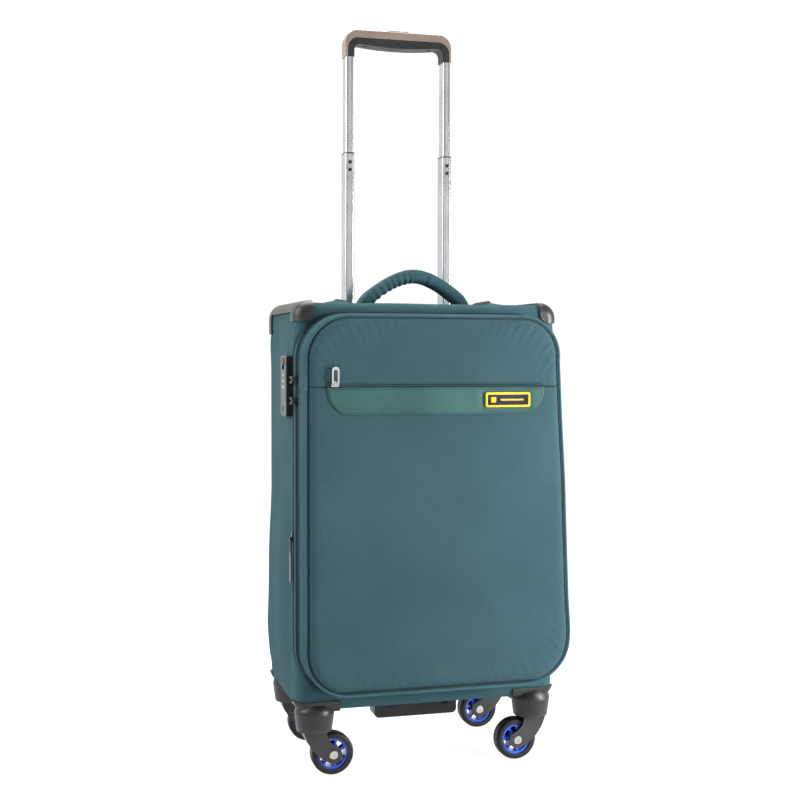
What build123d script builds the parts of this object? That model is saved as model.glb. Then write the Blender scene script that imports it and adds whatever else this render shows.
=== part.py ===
"""Softside upright spinner suitcase. Millimetres, +Z up, floor at z = 0, front towards -Y."""
import os
from math import cos, radians, sin

from build123d import *

# ---- Driving dimensions -------------------------------------------------------------------
# Case body: the padded fabric box behind the front edge.
body_width = 317.0
body_front = -65.0
body_back = 109.0
body_bottom = 77.0
body_top = 551.0
body_wall = 4.0
body_corner = 16.0   # rounding seen from the front
body_edge = 11.0     # rounding of the front and back edges
rub = 0.1            # gap between sewn or screwed pieces that touch

# Zip outline: the rounded rectangle that the lid and the zips follow.
outline_half = 158.6
outline_bottom = 100.0
outline_top = 539.0
outline_radius = 54.0
chain_depth = 2.9
chain_inset = 5.0
expansion_zip_y = -47.0    # back face of the expansion zip
band_y = -50.2             # back face of the expansion band
band_depth = 14.8
lid_y = -68.4              # back rim of the lid
lid_front = -106.0
lid_wall = 3.0
expansion_travel = 30.0

# Telescopic handle.
tube_x = 63.6
tube_y = 80.0
tube_wall = 1.0
upper_tube = (10.0, 19.2)
middle_tube = (12.4, 22.4)
outer_tube = (15.4, 26.4)
middle_top = 742.5
grip_bottom = 863.5
grip_top = 897.3
grip_half = 69.4
grip_leg = 11.6
grip_depth = 22.4

# Recessed cup that the handle sinks into.
cup_length = 176.0
cup_width = 36.0
cup_depth = 27.0
cup_wall = 2.0

# Casters.
caster_x = 134.5
front_caster_y = -50.0
back_caster_y = 91.6
wheel_radius = 25.0
wheel_width = 18.0
trail = 20.5
axle_radius = 2.95
swivel_radius = 4.0
housing_bottom = 53.0
fit_gap = 0.05

# Lock on the left side.
lock_y = -28.5
lock_width = 34.0
lock_bottom = 419.0
lock_top = 490.0
lock_proud = 8.3
dial_radius = 4.4
dial_heights = (453.0, 460.0, 467.0)

# Front pocket, band and name plate.
pocket_top = 454.5
panel_half = 147.6
pocket_depth = 4.4
upper_depth = 3.0
trim_height = 31.5

body_height = body_top - body_bottom
body_mid_z = (body_top + body_bottom) / 2
body_half = body_width / 2
outline_mid_z = (outline_top + outline_bottom) / 2
outline_height = outline_top - outline_bottom
inner_half = body_half - body_wall
lining_floor = body_bottom + 9.0
lining_roof = body_top - 34.0
lining_back = 62.0
case_left = -body_half

os.makedirs("parts", exist_ok=True)


def write(builder, name):
    """Labels one finished piece and writes its STEP file."""
    builder.part.label = name
    export_step(builder.part, f"parts/{name}.step")


def facing_front(y):
    """A plane at depth y whose sketches are seen from the front and extrude towards -Y."""
    return Plane(origin=(0, y, 0), x_dir=(1, 0, 0), z_dir=(0, -1, 0))


def body_block(grow):
    """The outer form of the case body, grown outwards by a margin."""
    with BuildPart() as block:
        with BuildSketch(facing_front(body_back + grow)):
            with Locations((0, body_mid_z)):
                RectangleRounded(body_width + 2 * grow, body_height + 2 * grow, body_corner + grow)
        extrude(amount=body_back - body_front + 2 * grow)
        ends = block.faces().sort_by(Axis.Y)
        fillet(ends[0].edges() + ends[-1].edges(), body_edge + grow)
    return block.part


def outline_slab(y, depth, inset):
    """A slab with the zip outline, inset by a margin, from depth y towards the front."""
    with BuildPart() as slab:
        with BuildSketch(facing_front(y)):
            with Locations((0, outline_mid_z)):
                RectangleRounded(
                    2 * (outline_half - inset), outline_height - 2 * inset, outline_radius - inset
                )
        extrude(amount=depth)
    return slab.part


def outline_ring(y, depth, outer_inset, inner_inset):
    """A closed ring on the zip outline."""
    with BuildPart() as ring:
        add(outline_slab(y, depth, outer_inset))
        add(outline_slab(y, depth, inner_inset), mode=Mode.SUBTRACT)
    return ring.part


def cuboid(low, high, mode=Mode.ADD):
    """A box between two corners, inside the current part."""
    centre = tuple((a + b) / 2 for a, b in zip(low, high))
    size = tuple(b - a for a, b in zip(low, high))
    with Locations(centre):
        return Box(*size, mode=mode)


# ---- Case body ----------------------------------------------------------------------------
flange_opening = 7.2
cup_hole_length = cup_length - 2 * 5.0
cup_hole_width = cup_width - 2 * 4.0

with BuildPart() as case_shell:
    add(body_block(0))
    # The inside of the box, behind the front flange.
    with BuildSketch(facing_front(body_back - body_wall)):
        with Locations((0, body_mid_z)):
            RectangleRounded(
                body_width - 2 * body_wall, body_height - 2 * body_wall, body_corner - body_wall
            )
    extrude(amount=body_back - body_wall - expansion_zip_y - 3.0, mode=Mode.SUBTRACT)
    # The step that the zips and the expansion band sit in, and the main opening.
    add(outline_slab(expansion_zip_y, 40.0, 0), mode=Mode.SUBTRACT)
    add(outline_slab(0, 60.0, flange_opening), mode=Mode.SUBTRACT)
    cuboid(
        (-cup_hole_length / 2, tube_y - cup_hole_width / 2, body_top - 10),
        (cup_hole_length / 2, tube_y + cup_hole_width / 2, body_top + 10),
        Mode.SUBTRACT,
    )
write(case_shell, "case_shell")

with BuildPart() as back_board:
    with BuildSketch(facing_front(body_back - body_wall - rub)):
        with Locations((0, body_mid_z)):
            RectangleRounded(body_width - 2 * body_wall - 6, body_height - 2 * body_wall - 6, 8)
    extrude(amount=2.5)
write(back_board, "back_board")

frame_rod_size = 3.0
frame_inset = flange_opening - 3.0
with BuildPart() as frame_rod:
    add(outline_ring(expansion_zip_y + 3.0 + frame_rod_size + rub, frame_rod_size,
                     frame_inset, frame_inset + frame_rod_size))
    fillet(frame_rod.edges(), 1.2)
write(frame_rod, "frame_rod")

lining_front = -18.0
with BuildPart() as lining:
    cuboid(
        (-inner_half + 2.5, lining_front, lining_floor),
        (inner_half - 2.5, lining_back, lining_roof),
    )
    fillet(lining.edges().filter_by(Axis.Y), 20)
    cuboid(
        (-inner_half + 3.7, lining_front - 1, lining_floor + 1.2),
        (inner_half - 3.7, lining_back - 1.2, lining_roof - 1.2),
        Mode.SUBTRACT,
    )
write(lining, "lining")

strap_width = 25.0
strap_y = lining_back - 3.4
with BuildPart() as packing_straps:
    for side in (-1, 1):
        with BuildSketch(facing_front(strap_y)):
            with Locations((side * 92.0, 300.0)):
                Rectangle(strap_width, 330.0)
        extrude(amount=1.6)
    with BuildSketch(facing_front(strap_y)):
        with Locations((0, 300.0)):
            Rectangle(159.0 - 0.2, strap_width)
    extrude(amount=1.6)
    cuboid((-24, strap_y - 7.0, 284), (24, strap_y - 1.6, 316))
write(packing_straps, "packing_straps")

# ---- Trolley cup, fixed tubes and their foot ------------------------------------------------
cup_floor = body_top - cup_depth
with BuildPart() as trolley_cup:
    with BuildSketch(Plane.XY.offset(body_top + rub)):
        with Locations((0, tube_y)):
            RectangleRounded(cup_length, cup_width, 8)
    extrude(amount=1.8)
    cuboid(
        (-cup_hole_length / 2 + 0.2, tube_y - cup_hole_width / 2 + 0.2, cup_floor - cup_wall),
        (cup_hole_length / 2 - 0.2, tube_y + cup_hole_width / 2 - 0.2, body_top + rub + 0.5),
    )
    cuboid(
        (-cup_hole_length / 2 + 2.2, tube_y - cup_hole_width / 2 + 1.0, cup_floor),
        (cup_hole_length / 2 - 2.2, tube_y + cup_hole_width / 2 - 1.0, body_top + 5),
        Mode.SUBTRACT,
    )
    with BuildSketch(Plane.XY.offset(cup_floor + 1)):
        with Locations((-tube_x, tube_y), (tube_x, tube_y)):
            RectangleRounded(middle_tube[0] + 1.0, middle_tube[1] + 1.0, 3)
    extrude(amount=-10, mode=Mode.SUBTRACT)
write(trolley_cup, "trolley_cup")


groove_width = 1.0
groove_depth = 0.5
groove_spacing = 1.9


def tube_pair(size, low, high):
    """Two rounded rectangular tubes, one each side, with two drawn grooves front and back."""
    with BuildPart() as pair:
        with BuildSketch(Plane.XY.offset(low)):
            with Locations((-tube_x, tube_y), (tube_x, tube_y)):
                RectangleRounded(size[0], size[1], 2.8)
                RectangleRounded(
                    size[0] - 2 * tube_wall, size[1] - 2 * tube_wall, 2.8 - tube_wall,
                    mode=Mode.SUBTRACT,
                )
                with GridLocations(2 * groove_spacing, size[1], 2, 2):
                    Rectangle(groove_width, 2 * groove_depth, mode=Mode.SUBTRACT)
        extrude(amount=high - low)
    return pair


outer_bottom = body_bottom + body_wall + 14.0
outer_tubes = tube_pair(outer_tube, outer_bottom, cup_floor - cup_wall - rub)
write(outer_tubes, "outer_tubes")

with BuildPart() as trolley_base:
    cuboid(
        (-tube_x - 14, tube_y - 18, body_bottom + body_wall + rub),
        (tube_x + 14, tube_y + 18, outer_bottom - rub),
    )
    fillet(trolley_base.edges().filter_by(Axis.Z), 6)
    with Locations((-38, tube_y, outer_bottom), (0, tube_y, outer_bottom), (38, tube_y, outer_bottom)):
        Box(26, 26, 16, mode=Mode.SUBTRACT)
write(trolley_base, "trolley_base")

# ---- Corner guards --------------------------------------------------------------------------
guard_skin = 2.5
guard_reach = 138.5
guard_skirt = 540.0


def guard(side):
    """One saddle over a top side edge: a top and side band, a front tab and a back leg."""
    inner = side * guard_reach
    outer = side * (body_half + 10)
    left = min(inner, outer)
    right = max(inner, outer)
    with BuildPart() as reach:
        cuboid((left, body_front - 10, guard_skirt), (right, body_back + 10, body_top + 10))
        with BuildSketch(facing_front(-42)):
            with Locations(((inner + outer) / 2, 545.5)):
                RectangleRounded(abs(outer - inner), 33.0, 11)
        extrude(amount=40)
        with BuildSketch(facing_front(body_back + 10)):
            with Locations(((inner + outer) / 2, 540.0)):
                RectangleRounded(abs(outer - inner), 48.0, 11)
        extrude(amount=34)
    with BuildPart() as saddle:
        add(body_block(guard_skin))
        add(body_block(rub), mode=Mode.SUBTRACT)
        add(reach.part, mode=Mode.INTERSECT)
        add(outline_slab(band_y, 40.0, -0.6), mode=Mode.SUBTRACT)
    return saddle


write(guard(-1), "corner_guard_left")
write(guard(1), "corner_guard_right")

# ---- Casters --------------------------------------------------------------------------------
bracket_skin = 2.6
bracket_top = 89.0
bracket_reach = 52.0
crown_radius = 16.0
crown_top = 64.0
crown_bottom = 52.4


def bracket(x, y):
    """A corner bracket: a thin corner shell with the swivel housing under it."""
    side = 1 if x > 0 else -1
    end = 1 if y > 0 else -1
    edge_y = body_back if end > 0 else body_front
    corner_x = side * (body_half + 6)
    corner_y = edge_y + end * 6
    inner_x = side * (body_half - bracket_reach)
    inner_y = edge_y - end * bracket_reach
    low_x, high_x = sorted((inner_x, corner_x))
    low_y, high_y = sorted((inner_y, corner_y))
    with BuildPart() as reach:
        cuboid((low_x, low_y, 60), (high_x, high_y, bracket_top))
        # The shell's top edge slopes down along the side, away from the corner.
        with BuildSketch(Plane.YZ.offset(side * (body_half - 14))):
            Polygon(
                (edge_y - end * 6, bracket_top + 1), (inner_y, bracket_top + 1), (inner_y, 79.0),
                align=None,
            )
        extrude(amount=side * 30, mode=Mode.SUBTRACT)
    with BuildPart() as shell:
        add(body_block(bracket_skin))
        add(reach.part, mode=Mode.INTERSECT)
        with BuildSketch(Plane(origin=(x, y, 0), x_dir=(1, 0, 0), z_dir=(0, -1, 0))):
            with BuildLine():
                Line((0, housing_bottom), (20.6, housing_bottom))
                Line((20.6, housing_bottom), (23.4, 74.0))
                ThreePointArc((23.4, 74.0), (20.5, 82.0), (13.0, 87.5))
                Line((13.0, 87.5), (0, 87.5))
                Line((0, 87.5), (0, housing_bottom))
            make_face()
        revolve(axis=Axis((x, y, 0), (0, 0, 1)))
        add(body_block(rub), mode=Mode.SUBTRACT)
        with Locations((x, y, housing_bottom)):
            Cylinder(
                crown_radius + 1.0, crown_top + 1.0 - housing_bottom,
                align=(Align.CENTER, Align.CENTER, Align.MIN), mode=Mode.SUBTRACT,
            )
            Cylinder(
                swivel_radius + 0.02, 40, align=(Align.CENTER, Align.CENTER, Align.MIN),
                mode=Mode.SUBTRACT,
            )
    return shell


def fork(x, y, way):
    """A caster fork with its axle screw: a crown in the housing and two swept arms."""
    arm_outer = wheel_width / 2 + 4.4
    with BuildPart() as arms:
        with BuildSketch(Plane(origin=(x, y + arm_outer, 0), x_dir=(way, 0, 0), z_dir=(0, -way, 0))):
            with BuildLine():
                Line((-14.5, crown_bottom + 0.2), (12.5, crown_bottom + 0.2))
                ThreePointArc((12.5, crown_bottom + 0.2), (15.5, 42.0), (24.0, 34.6))
                ThreePointArc((24.0, 34.6), (trail + 9.2, 20.6), (17.5, 15.1))
                ThreePointArc((17.5, 15.1), (-3.5, 31.0), (-14.5, crown_bottom + 0.2))
            make_face()
        extrude(amount=2 * arm_outer if way > 0 else -2 * arm_outer)
        with Locations((x + way * trail, y, wheel_radius)):
            Cylinder(
                wheel_radius + 1.6, wheel_width + 1.6, rotation=(90, 0, 0), mode=Mode.SUBTRACT,
            )
        cuboid(
            (x - 30, y - wheel_width / 2 - 0.8, 10), (x + 30, y + wheel_width / 2 + 0.8, 38),
            Mode.SUBTRACT,
        )
        with Locations((x, y, crown_bottom)):
            Cylinder(crown_radius, crown_top - crown_bottom,
                     align=(Align.CENTER, Align.CENTER, Align.MIN))
            Cylinder(
                swivel_radius + fit_gap, 40, align=(Align.CENTER, Align.CENTER, Align.CENTER),
                mode=Mode.SUBTRACT,
            )
        with Locations((x + way * trail, y, wheel_radius)):
            Cylinder(axle_radius + 0.02, 60, rotation=(90, 0, 0), mode=Mode.SUBTRACT)
            for face in (-1, 1):
                with Locations((0, face * arm_outer, 0)):
                    Cylinder(5.2, 1.6, rotation=(90, 0, 0), mode=Mode.SUBTRACT)
    with BuildPart() as axle:
        with Locations((x + way * trail, y, wheel_radius)):
            Cylinder(axle_radius, 2 * arm_outer - 1.6, rotation=(90, 0, 0))
            for face in (-1, 1):
                with Locations((0, face * (arm_outer - 0.1), 0)):
                    Cylinder(4.7, 1.2, rotation=(90, 0, 0))
                with Locations((0, face * (arm_outer + 0.5), 0)):
                    Cylinder(1.6, 1.4, rotation=(90, 0, 0), mode=Mode.SUBTRACT)
    with BuildPart() as pair:
        add(arms.part)
        add(axle.part)
    return pair


def hub(x, y):
    """A spoked hub with seven swept spokes and a plain bore."""
    rim_outer = 18.4
    rim_inner = 15.6
    boss = 6.2
    spokes = 7
    with BuildPart() as spoked:
        with BuildSketch(facing_front(y + wheel_width / 2 - 2.5)):
            with Locations((x, wheel_radius)):
                Circle(rim_outer)
                Circle(rim_inner, mode=Mode.SUBTRACT)
                Circle(boss)
        extrude(amount=wheel_width - 5)
        with BuildSketch(facing_front(y + wheel_width / 2 - 4)):
            for index in range(spokes):
                turn = radians(360 / spokes * index)
                root = (x + 4 * cos(turn), wheel_radius + 4 * sin(turn))
                lean = turn + radians(24)
                tip = (x + 16.6 * cos(lean), wheel_radius + 16.6 * sin(lean))
                with BuildLine():
                    Line(root, tip)
                    offset(amount=1.5)
                make_face()
        extrude(amount=wheel_width - 8)
        with Locations((x, y, wheel_radius)):
            Cylinder(axle_radius + fit_gap, 60, rotation=(90, 0, 0), mode=Mode.SUBTRACT)
    return spoked


def tyre(x, y):
    """A tyre with a flat tread and rounded shoulders."""
    with BuildPart() as ring:
        with Locations((x, y, wheel_radius)):
            Cylinder(wheel_radius, wheel_width, rotation=(90, 0, 0))
        fillet(ring.edges().filter_by(GeomType.CIRCLE), 4.0)
        with Locations((x, y, wheel_radius)):
            Cylinder(18.4 + 0.02, 60, rotation=(90, 0, 0), mode=Mode.SUBTRACT)
    return ring


casters = {
    "front_left": (-caster_x, front_caster_y),
    "front_right": (caster_x, front_caster_y),
    "back_left": (-caster_x, back_caster_y),
    "back_right": (caster_x, back_caster_y),
}
for place, (x, y) in casters.items():
    way = 1 if x < 0 else -1
    write(bracket(x, y), f"wheel_bracket_{place}")
    write(fork(x, y, way), f"caster_fork_{place}")
    write(hub(x + way * trail, y), f"wheel_hub_{place}")
    write(tyre(x + way * trail, y), f"wheel_tyre_{place}")

pin_low = crown_bottom - 1.6
with BuildPart() as swivel_pins:
    with Locations(*[(x, y, pin_low) for x, y in casters.values()]):
        Cylinder(swivel_radius, body_bottom - 3 - pin_low,
                 align=(Align.CENTER, Align.CENTER, Align.MIN))
write(swivel_pins, "swivel_pins")

# ---- Bottom grab handle ---------------------------------------------------------------------
with BuildPart() as bottom_handle:
    cuboid((-52, -12, 50), (52, 12, body_bottom - rub))
    fillet(bottom_handle.edges().filter_by(Axis.Y), 6)
    cuboid((-40, -20, 62.2), (40, 20, body_bottom - 3), Mode.SUBTRACT)
write(bottom_handle, "bottom_handle")

# ---- Zips and the expansion band ------------------------------------------------------------
with BuildPart() as expansion_zip:
    add(outline_ring(expansion_zip_y - rub, chain_depth, 0.2, chain_inset))
write(expansion_zip, "expansion_zip")

gusset_inset = flange_opening + 0.5
gusset_skin = 1.2
with BuildPart() as expansion_band:
    add(outline_ring(band_y, band_depth, 0.5, gusset_inset + gusset_skin))
    # The folded gusset behind the band, which spans the gap when the case is expanded.
    add(outline_ring(
        band_y + expansion_travel, expansion_travel + 1, gusset_inset, gusset_inset + gusset_skin
    ))
write(expansion_band, "expansion_band")

with BuildPart() as main_zip:
    add(outline_ring(band_y - band_depth - rub, chain_depth, 1.1, chain_inset))
write(main_zip, "main_zip")

# ---- Lid ------------------------------------------------------------------------------------
lid_inset = 2.6
lid_depth = lid_y - lid_front
with BuildPart() as lid_shell:
    add(outline_slab(lid_y, lid_depth, lid_inset))
    fillet(lid_shell.faces().sort_by(Axis.Y)[0].edges(), 2.5)
    add(outline_slab(lid_y, lid_depth - 4.0, lid_inset + lid_wall), mode=Mode.SUBTRACT)
write(lid_shell, "lid_shell")

with BuildPart() as lid_lining:
    add(outline_slab(lid_y - 2, lid_depth - 6.2, lid_inset + lid_wall + 0.5))
    add(outline_slab(lid_y - 2, lid_depth - 7.2, lid_inset + lid_wall + 1.5), mode=Mode.SUBTRACT)
write(lid_lining, "lid_lining")

with BuildPart() as lid_piping:
    add(outline_ring(lid_front - rub, 4.6, lid_inset + 2.4, lid_inset + 7.4))
    fillet(lid_piping.edges().group_by(Axis.Y)[0], 2.0)
write(lid_piping, "lid_piping")

panel_inset = outline_half - panel_half
with BuildPart() as upper_panel:
    add(outline_slab(lid_front - rub, upper_depth, panel_inset))
    cuboid((-200, -130, 0), (200, -90, pocket_top + 0.3), Mode.SUBTRACT)
    fillet(upper_panel.faces().sort_by(Axis.Y)[0].edges(), 1.5)
write(upper_panel, "upper_panel")

with BuildPart() as front_pocket:
    add(outline_slab(lid_front - rub, pocket_depth, panel_inset))
    cuboid((-200, -130, pocket_top), (200, -90, 700), Mode.SUBTRACT)
    fillet(front_pocket.faces().sort_by(Axis.Y)[0].edges(), 2)
write(front_pocket, "front_pocket")

trim_y = lid_front - rub - pocket_depth - rub
trim_half = 132.3
trim_bottom = pocket_top - trim_height
trim_sweep = 22.0
with BuildPart() as pocket_trim:
    with BuildSketch(facing_front(trim_y)):
        with BuildLine():
            Line((-trim_half, pocket_top), (trim_half, pocket_top))
            TangentArc((trim_half, pocket_top), (trim_half - trim_sweep, trim_bottom), tangent=(0.12, -1))
            Line((trim_half - trim_sweep, trim_bottom), (trim_sweep - trim_half, trim_bottom))
            TangentArc(
                (-trim_half, pocket_top), (trim_sweep - trim_half, trim_bottom), tangent=(-0.12, -1)
            )
        make_face()
    extrude(amount=1.3)
write(pocket_trim, "pocket_trim")

plate_y = trim_y - 1.3 - rub
plate_mid = (80.7, 439.3)
plate_size = (54.4, 16.8)
with BuildPart() as name_plate:
    with BuildSketch(facing_front(plate_y)):
        with Locations(plate_mid):
            RectangleRounded(plate_size[0], plate_size[1], 2)
    extrude(amount=2.2)
    with BuildSketch(facing_front(plate_y - 1.2)):
        with Locations(plate_mid):
            RectangleRounded(plate_size[0] - 4.4, plate_size[1] - 4.4, 1)
    extrude(amount=1.5, mode=Mode.SUBTRACT)
write(name_plate, "name_plate")

with BuildPart() as pocket_zip:
    cuboid((-trim_half, lid_front - rub - upper_depth - 1.4, pocket_top + 0.6),
           (trim_half, lid_front - rub - upper_depth - 0.05, pocket_top + 4.6))
write(pocket_zip, "pocket_zip")

# ---- Zip sliders and pulls ------------------------------------------------------------------
pocket_slider_x = -123.5
pull_pin = 0.9
pull_hole = 0.95
pull_y = lid_front - rub - upper_depth - 5.0
pull_z = pocket_top + 3.4
with BuildPart() as pocket_slider:
    cuboid(
        (pocket_slider_x - 4.5, pull_y + 1.9, pull_z - 2.8),
        (pocket_slider_x + 4.5, pull_y + 3.4, pull_z + 3.4),
    )
    fillet(pocket_slider.edges().filter_by(Axis.Y), 1.4)
    cuboid(
        (pocket_slider_x - 1.1, pull_y - 0.7, pull_z - 1.8),
        (pocket_slider_x + 1.1, pull_y + 2.0, pull_z + 1.8),
    )
    with Locations((pocket_slider_x, pull_y, pull_z)):
        Cylinder(pull_hole, 10, rotation=(0, 90, 0), mode=Mode.SUBTRACT)
write(pocket_slider, "pocket_slider")

with BuildPart() as pocket_pull:
    with BuildSketch(facing_front(pull_y + 0.8)):
        with Locations((pocket_slider_x, pull_z + 9.2)):
            SlotCenterToCenter(12.4, 8.6, rotation=90)
            SlotCenterToCenter(10.0, 4.4, rotation=90, mode=Mode.SUBTRACT)
    extrude(amount=1.6)
    cuboid(
        (pocket_slider_x - 5, pull_y - 3, pull_z - 6),
        (pocket_slider_x + 5, pull_y + 3, pull_z),
        Mode.SUBTRACT,
    )
    cuboid(
        (pocket_slider_x - 1.6, pull_y - 3, pull_z - 1),
        (pocket_slider_x + 1.6, pull_y + 3, pull_z + 4),
        Mode.SUBTRACT,
    )
    with Locations((pocket_slider_x, pull_y, pull_z)):
        Cylinder(pull_pin, 7.6, rotation=(0, 90, 0))
write(pocket_pull, "pocket_pull")

side_x = case_left - 0.35
expansion_pull_z = 276.0
expansion_pull_y = -49.3
slider_reach = 2.4
with BuildPart() as expansion_slider:
    cuboid((side_x - slider_reach, -53.0, expansion_pull_z - 2), (side_x, -45.5, expansion_pull_z + 9))
    fillet(expansion_slider.edges().filter_by(Axis.X), 1.6)
    cuboid((side_x - 4.6, -50.3, expansion_pull_z - 1.9), (side_x - 1, -48.3, expansion_pull_z + 4))
    with Locations((side_x - 3.4, expansion_pull_y, expansion_pull_z)):
        Cylinder(0.9, 12, rotation=(90, 0, 0), mode=Mode.SUBTRACT)
write(expansion_slider, "expansion_slider")

expansion_pull_x = side_x - 3.4
with BuildPart() as expansion_pull:
    pull_plane = Plane(
        origin=(expansion_pull_x + 0.8, expansion_pull_y, 0), x_dir=(0, -1, 0), z_dir=(-1, 0, 0)
    )
    with BuildSketch(pull_plane):
        with Locations((0, expansion_pull_z - 7)):
            RectangleRounded(7.2, 17, 3)
            RectangleRounded(4.0, 12.4, 1.6, mode=Mode.SUBTRACT)
        with Locations((0, expansion_pull_z - 32)):
            RectangleRounded(8.0, 34.5, 2.5)
    extrude(amount=1.6)
    cuboid(
        (expansion_pull_x - 3, -55, expansion_pull_z),
        (expansion_pull_x + 3, -44, expansion_pull_z + 6),
        Mode.SUBTRACT,
    )
    cuboid(
        (expansion_pull_x - 3, expansion_pull_y - 1.5, expansion_pull_z - 4),
        (expansion_pull_x + 3, expansion_pull_y + 1.5, expansion_pull_z + 1),
        Mode.SUBTRACT,
    )
    with Locations((expansion_pull_x, expansion_pull_y, expansion_pull_z)):
        Cylinder(0.85, 7.2, rotation=(90, 0, 0))
write(expansion_pull, "expansion_pull")


def main_slider(height, way):
    """A main zip slider on the band's side with its pull reaching back to the lock."""
    slider_y = band_y - band_depth - 1.5
    with BuildPart() as slider:
        cuboid((side_x - slider_reach, slider_y - 4.2, height - 5), (side_x, slider_y + 4.2, height + 5))
        fillet(slider.edges().filter_by(Axis.X), 1.6)
        cuboid((side_x - 4.2, slider_y - 1.4, height - 3), (side_x - 1, slider_y + 1.4, height + 3))
    lock_face = lock_y - lock_width / 2 - 0.4
    reach = lock_face - slider_y - 1.9
    with BuildPart() as link:
        with BuildSketch(Plane(origin=(side_x - 2.8, 0, 0), x_dir=(0, -1, 0), z_dir=(-1, 0, 0))):
            with Locations((-slider_y - 1.9 - reach / 2, height + way * 1.0)):
                RectangleRounded(reach, 8.4, 3.2)
                RectangleRounded(reach - 6.0, 3.0, 1.2, mode=Mode.SUBTRACT)
        extrude(amount=2.2)
    with BuildPart() as both:
        add(slider.part)
        add(link.part)
    return both


write(main_slider(463.0, -1), "main_slider_upper")
write(main_slider(437.0, 1), "main_slider_lower")

# ---- Lock -----------------------------------------------------------------------------------
lock_back_x = case_left - rub
lock_face_x = lock_back_x - lock_proud
dial_x = lock_face_x + dial_radius - 0.9
dial_thick = 4.0
key_height = 427.5
release_bottom = 479.4
with BuildPart() as lock_body:
    cuboid(
        (lock_face_x, lock_y - lock_width / 2, lock_bottom),
        (lock_back_x, lock_y + lock_width / 2, lock_top),
    )
    fillet(lock_body.edges().filter_by(Axis.X), 5)
    fillet(lock_body.faces().sort_by(Axis.X)[0].edges(), 1.5)
    for height in dial_heights:
        cuboid(
            (lock_face_x - 2, lock_y - 5.2, height - 2.4),
            (lock_back_x - 0.15, lock_y + 5.2, height + 2.4),
            Mode.SUBTRACT,
        )
    cuboid(
        (lock_face_x - 1, lock_y - 6.2, release_bottom - 6.0),
        (lock_face_x + 2.2, lock_y + 6.2, release_bottom + 7.6),
        Mode.SUBTRACT,
    )
    # A round key barrel in a shallow ring.
    with Locations((lock_face_x, lock_y, key_height)):
        Cylinder(3.4, 2.4, rotation=(0, 90, 0), mode=Mode.SUBTRACT)
    with Locations((lock_face_x + 1.2, lock_y, key_height)):
        Cylinder(2.7, 1.4, rotation=(0, 90, 0))
    cuboid(
        (lock_face_x - 1, lock_y - 0.6, key_height - 1.8),
        (lock_face_x + 1.0, lock_y + 0.6, key_height + 1.8),
        Mode.SUBTRACT,
    )
    with Locations((dial_x, lock_y, dial_heights[1])):
        Cylinder(1.2, dial_heights[2] - dial_heights[0] + 8)
write(lock_body, "lock_body")

for number, height in enumerate(dial_heights, start=1):
    with BuildPart() as dial:
        with Locations((dial_x, lock_y, height)):
            Cylinder(dial_radius, dial_thick)
        chamfer(dial.edges(), 0.4)
        with Locations((dial_x, lock_y, height)):
            with PolarLocations(dial_radius, 10):
                Box(0.7, 0.9, dial_thick, mode=Mode.SUBTRACT)
            Cylinder(1.2 + fit_gap, 10, mode=Mode.SUBTRACT)
    write(dial, f"lock_dial_{number}")

with BuildPart() as lock_release:
    cuboid(
        (lock_face_x - 0.9, lock_y - 5.6, release_bottom),
        (lock_face_x + 2.0, lock_y + 5.6, release_bottom + 7.0),
    )
    # Grip lines across its face.
    for line in (1.8, 3.6, 5.4):
        with Locations((lock_face_x - 0.9, lock_y, release_bottom + line)):
            Box(0.8, 9, 0.7, mode=Mode.SUBTRACT)
write(lock_release, "lock_release")

# ---- Carry handles --------------------------------------------------------------------------
handle_y = 5.0
handle_pivot = body_top + 8.5
handle_crown = 595.0
handle_half = 84.0
handle_thick = 18.0
handle_width = 28.0
with BuildPart() as carry_handle:
    with BuildSketch(facing_front(handle_y + handle_width / 2)):
        with BuildLine():
            ThreePointArc((-handle_half, body_top - 4), (0, handle_crown), (handle_half, body_top - 4))
            Line((handle_half, body_top - 4), (handle_half - handle_thick - 3, body_top - 4))
            ThreePointArc(
                (handle_half - handle_thick - 3, body_top - 4), (0, handle_crown - handle_thick),
                (handle_thick + 3 - handle_half, body_top - 4),
            )
            Line((handle_thick + 3 - handle_half, body_top - 4), (-handle_half, body_top - 4))
        make_face()
    extrude(amount=handle_width)
    # The ends narrow to a rounded root about the pivot line.
    with BuildSketch(Plane.YZ.offset(-handle_half - 5)):
        with Locations((handle_y, handle_pivot)):
            Circle(5.0)
        Polygon(
            (handle_y - 5.0, handle_pivot), (handle_y + 5.0, handle_pivot),
            (handle_y + handle_width / 2, handle_pivot + 14), (handle_y + handle_width / 2, 620),
            (handle_y - handle_width / 2, 620), (handle_y - handle_width / 2, handle_pivot + 14),
            align=None,
        )
    extrude(amount=2 * handle_half + 10, mode=Mode.INTERSECT)
write(carry_handle, "carry_handle")

side_handle_y = 22.0
side_handle_low = 222.0
side_handle_high = 392.0
side_handle_proud = lock_proud + rub + 0.9
with BuildPart() as side_handle:
    with BuildSketch(Plane.XZ.offset(-side_handle_y - 14)):
        middle = (side_handle_low + side_handle_high) / 2
        with BuildLine():
            Line((body_half + rub, side_handle_low), (body_half + rub, side_handle_low + 22))
            ThreePointArc(
                (body_half + rub, side_handle_low + 22), (body_half + side_handle_proud - 5, middle),
                (body_half + rub, side_handle_high - 22),
            )
            Line((body_half + rub, side_handle_high - 22), (body_half + rub, side_handle_high))
            ThreePointArc(
                (body_half + rub, side_handle_high), (body_half + side_handle_proud, middle),
                (body_half + rub, side_handle_low),
            )
        make_face()
    extrude(amount=28)
write(side_handle, "side_handle")

# ---- Telescopic handle ----------------------------------------------------------------------
middle_tubes = tube_pair(middle_tube, cup_floor - 62.0, middle_top)
write(middle_tubes, "middle_tubes")

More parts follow.
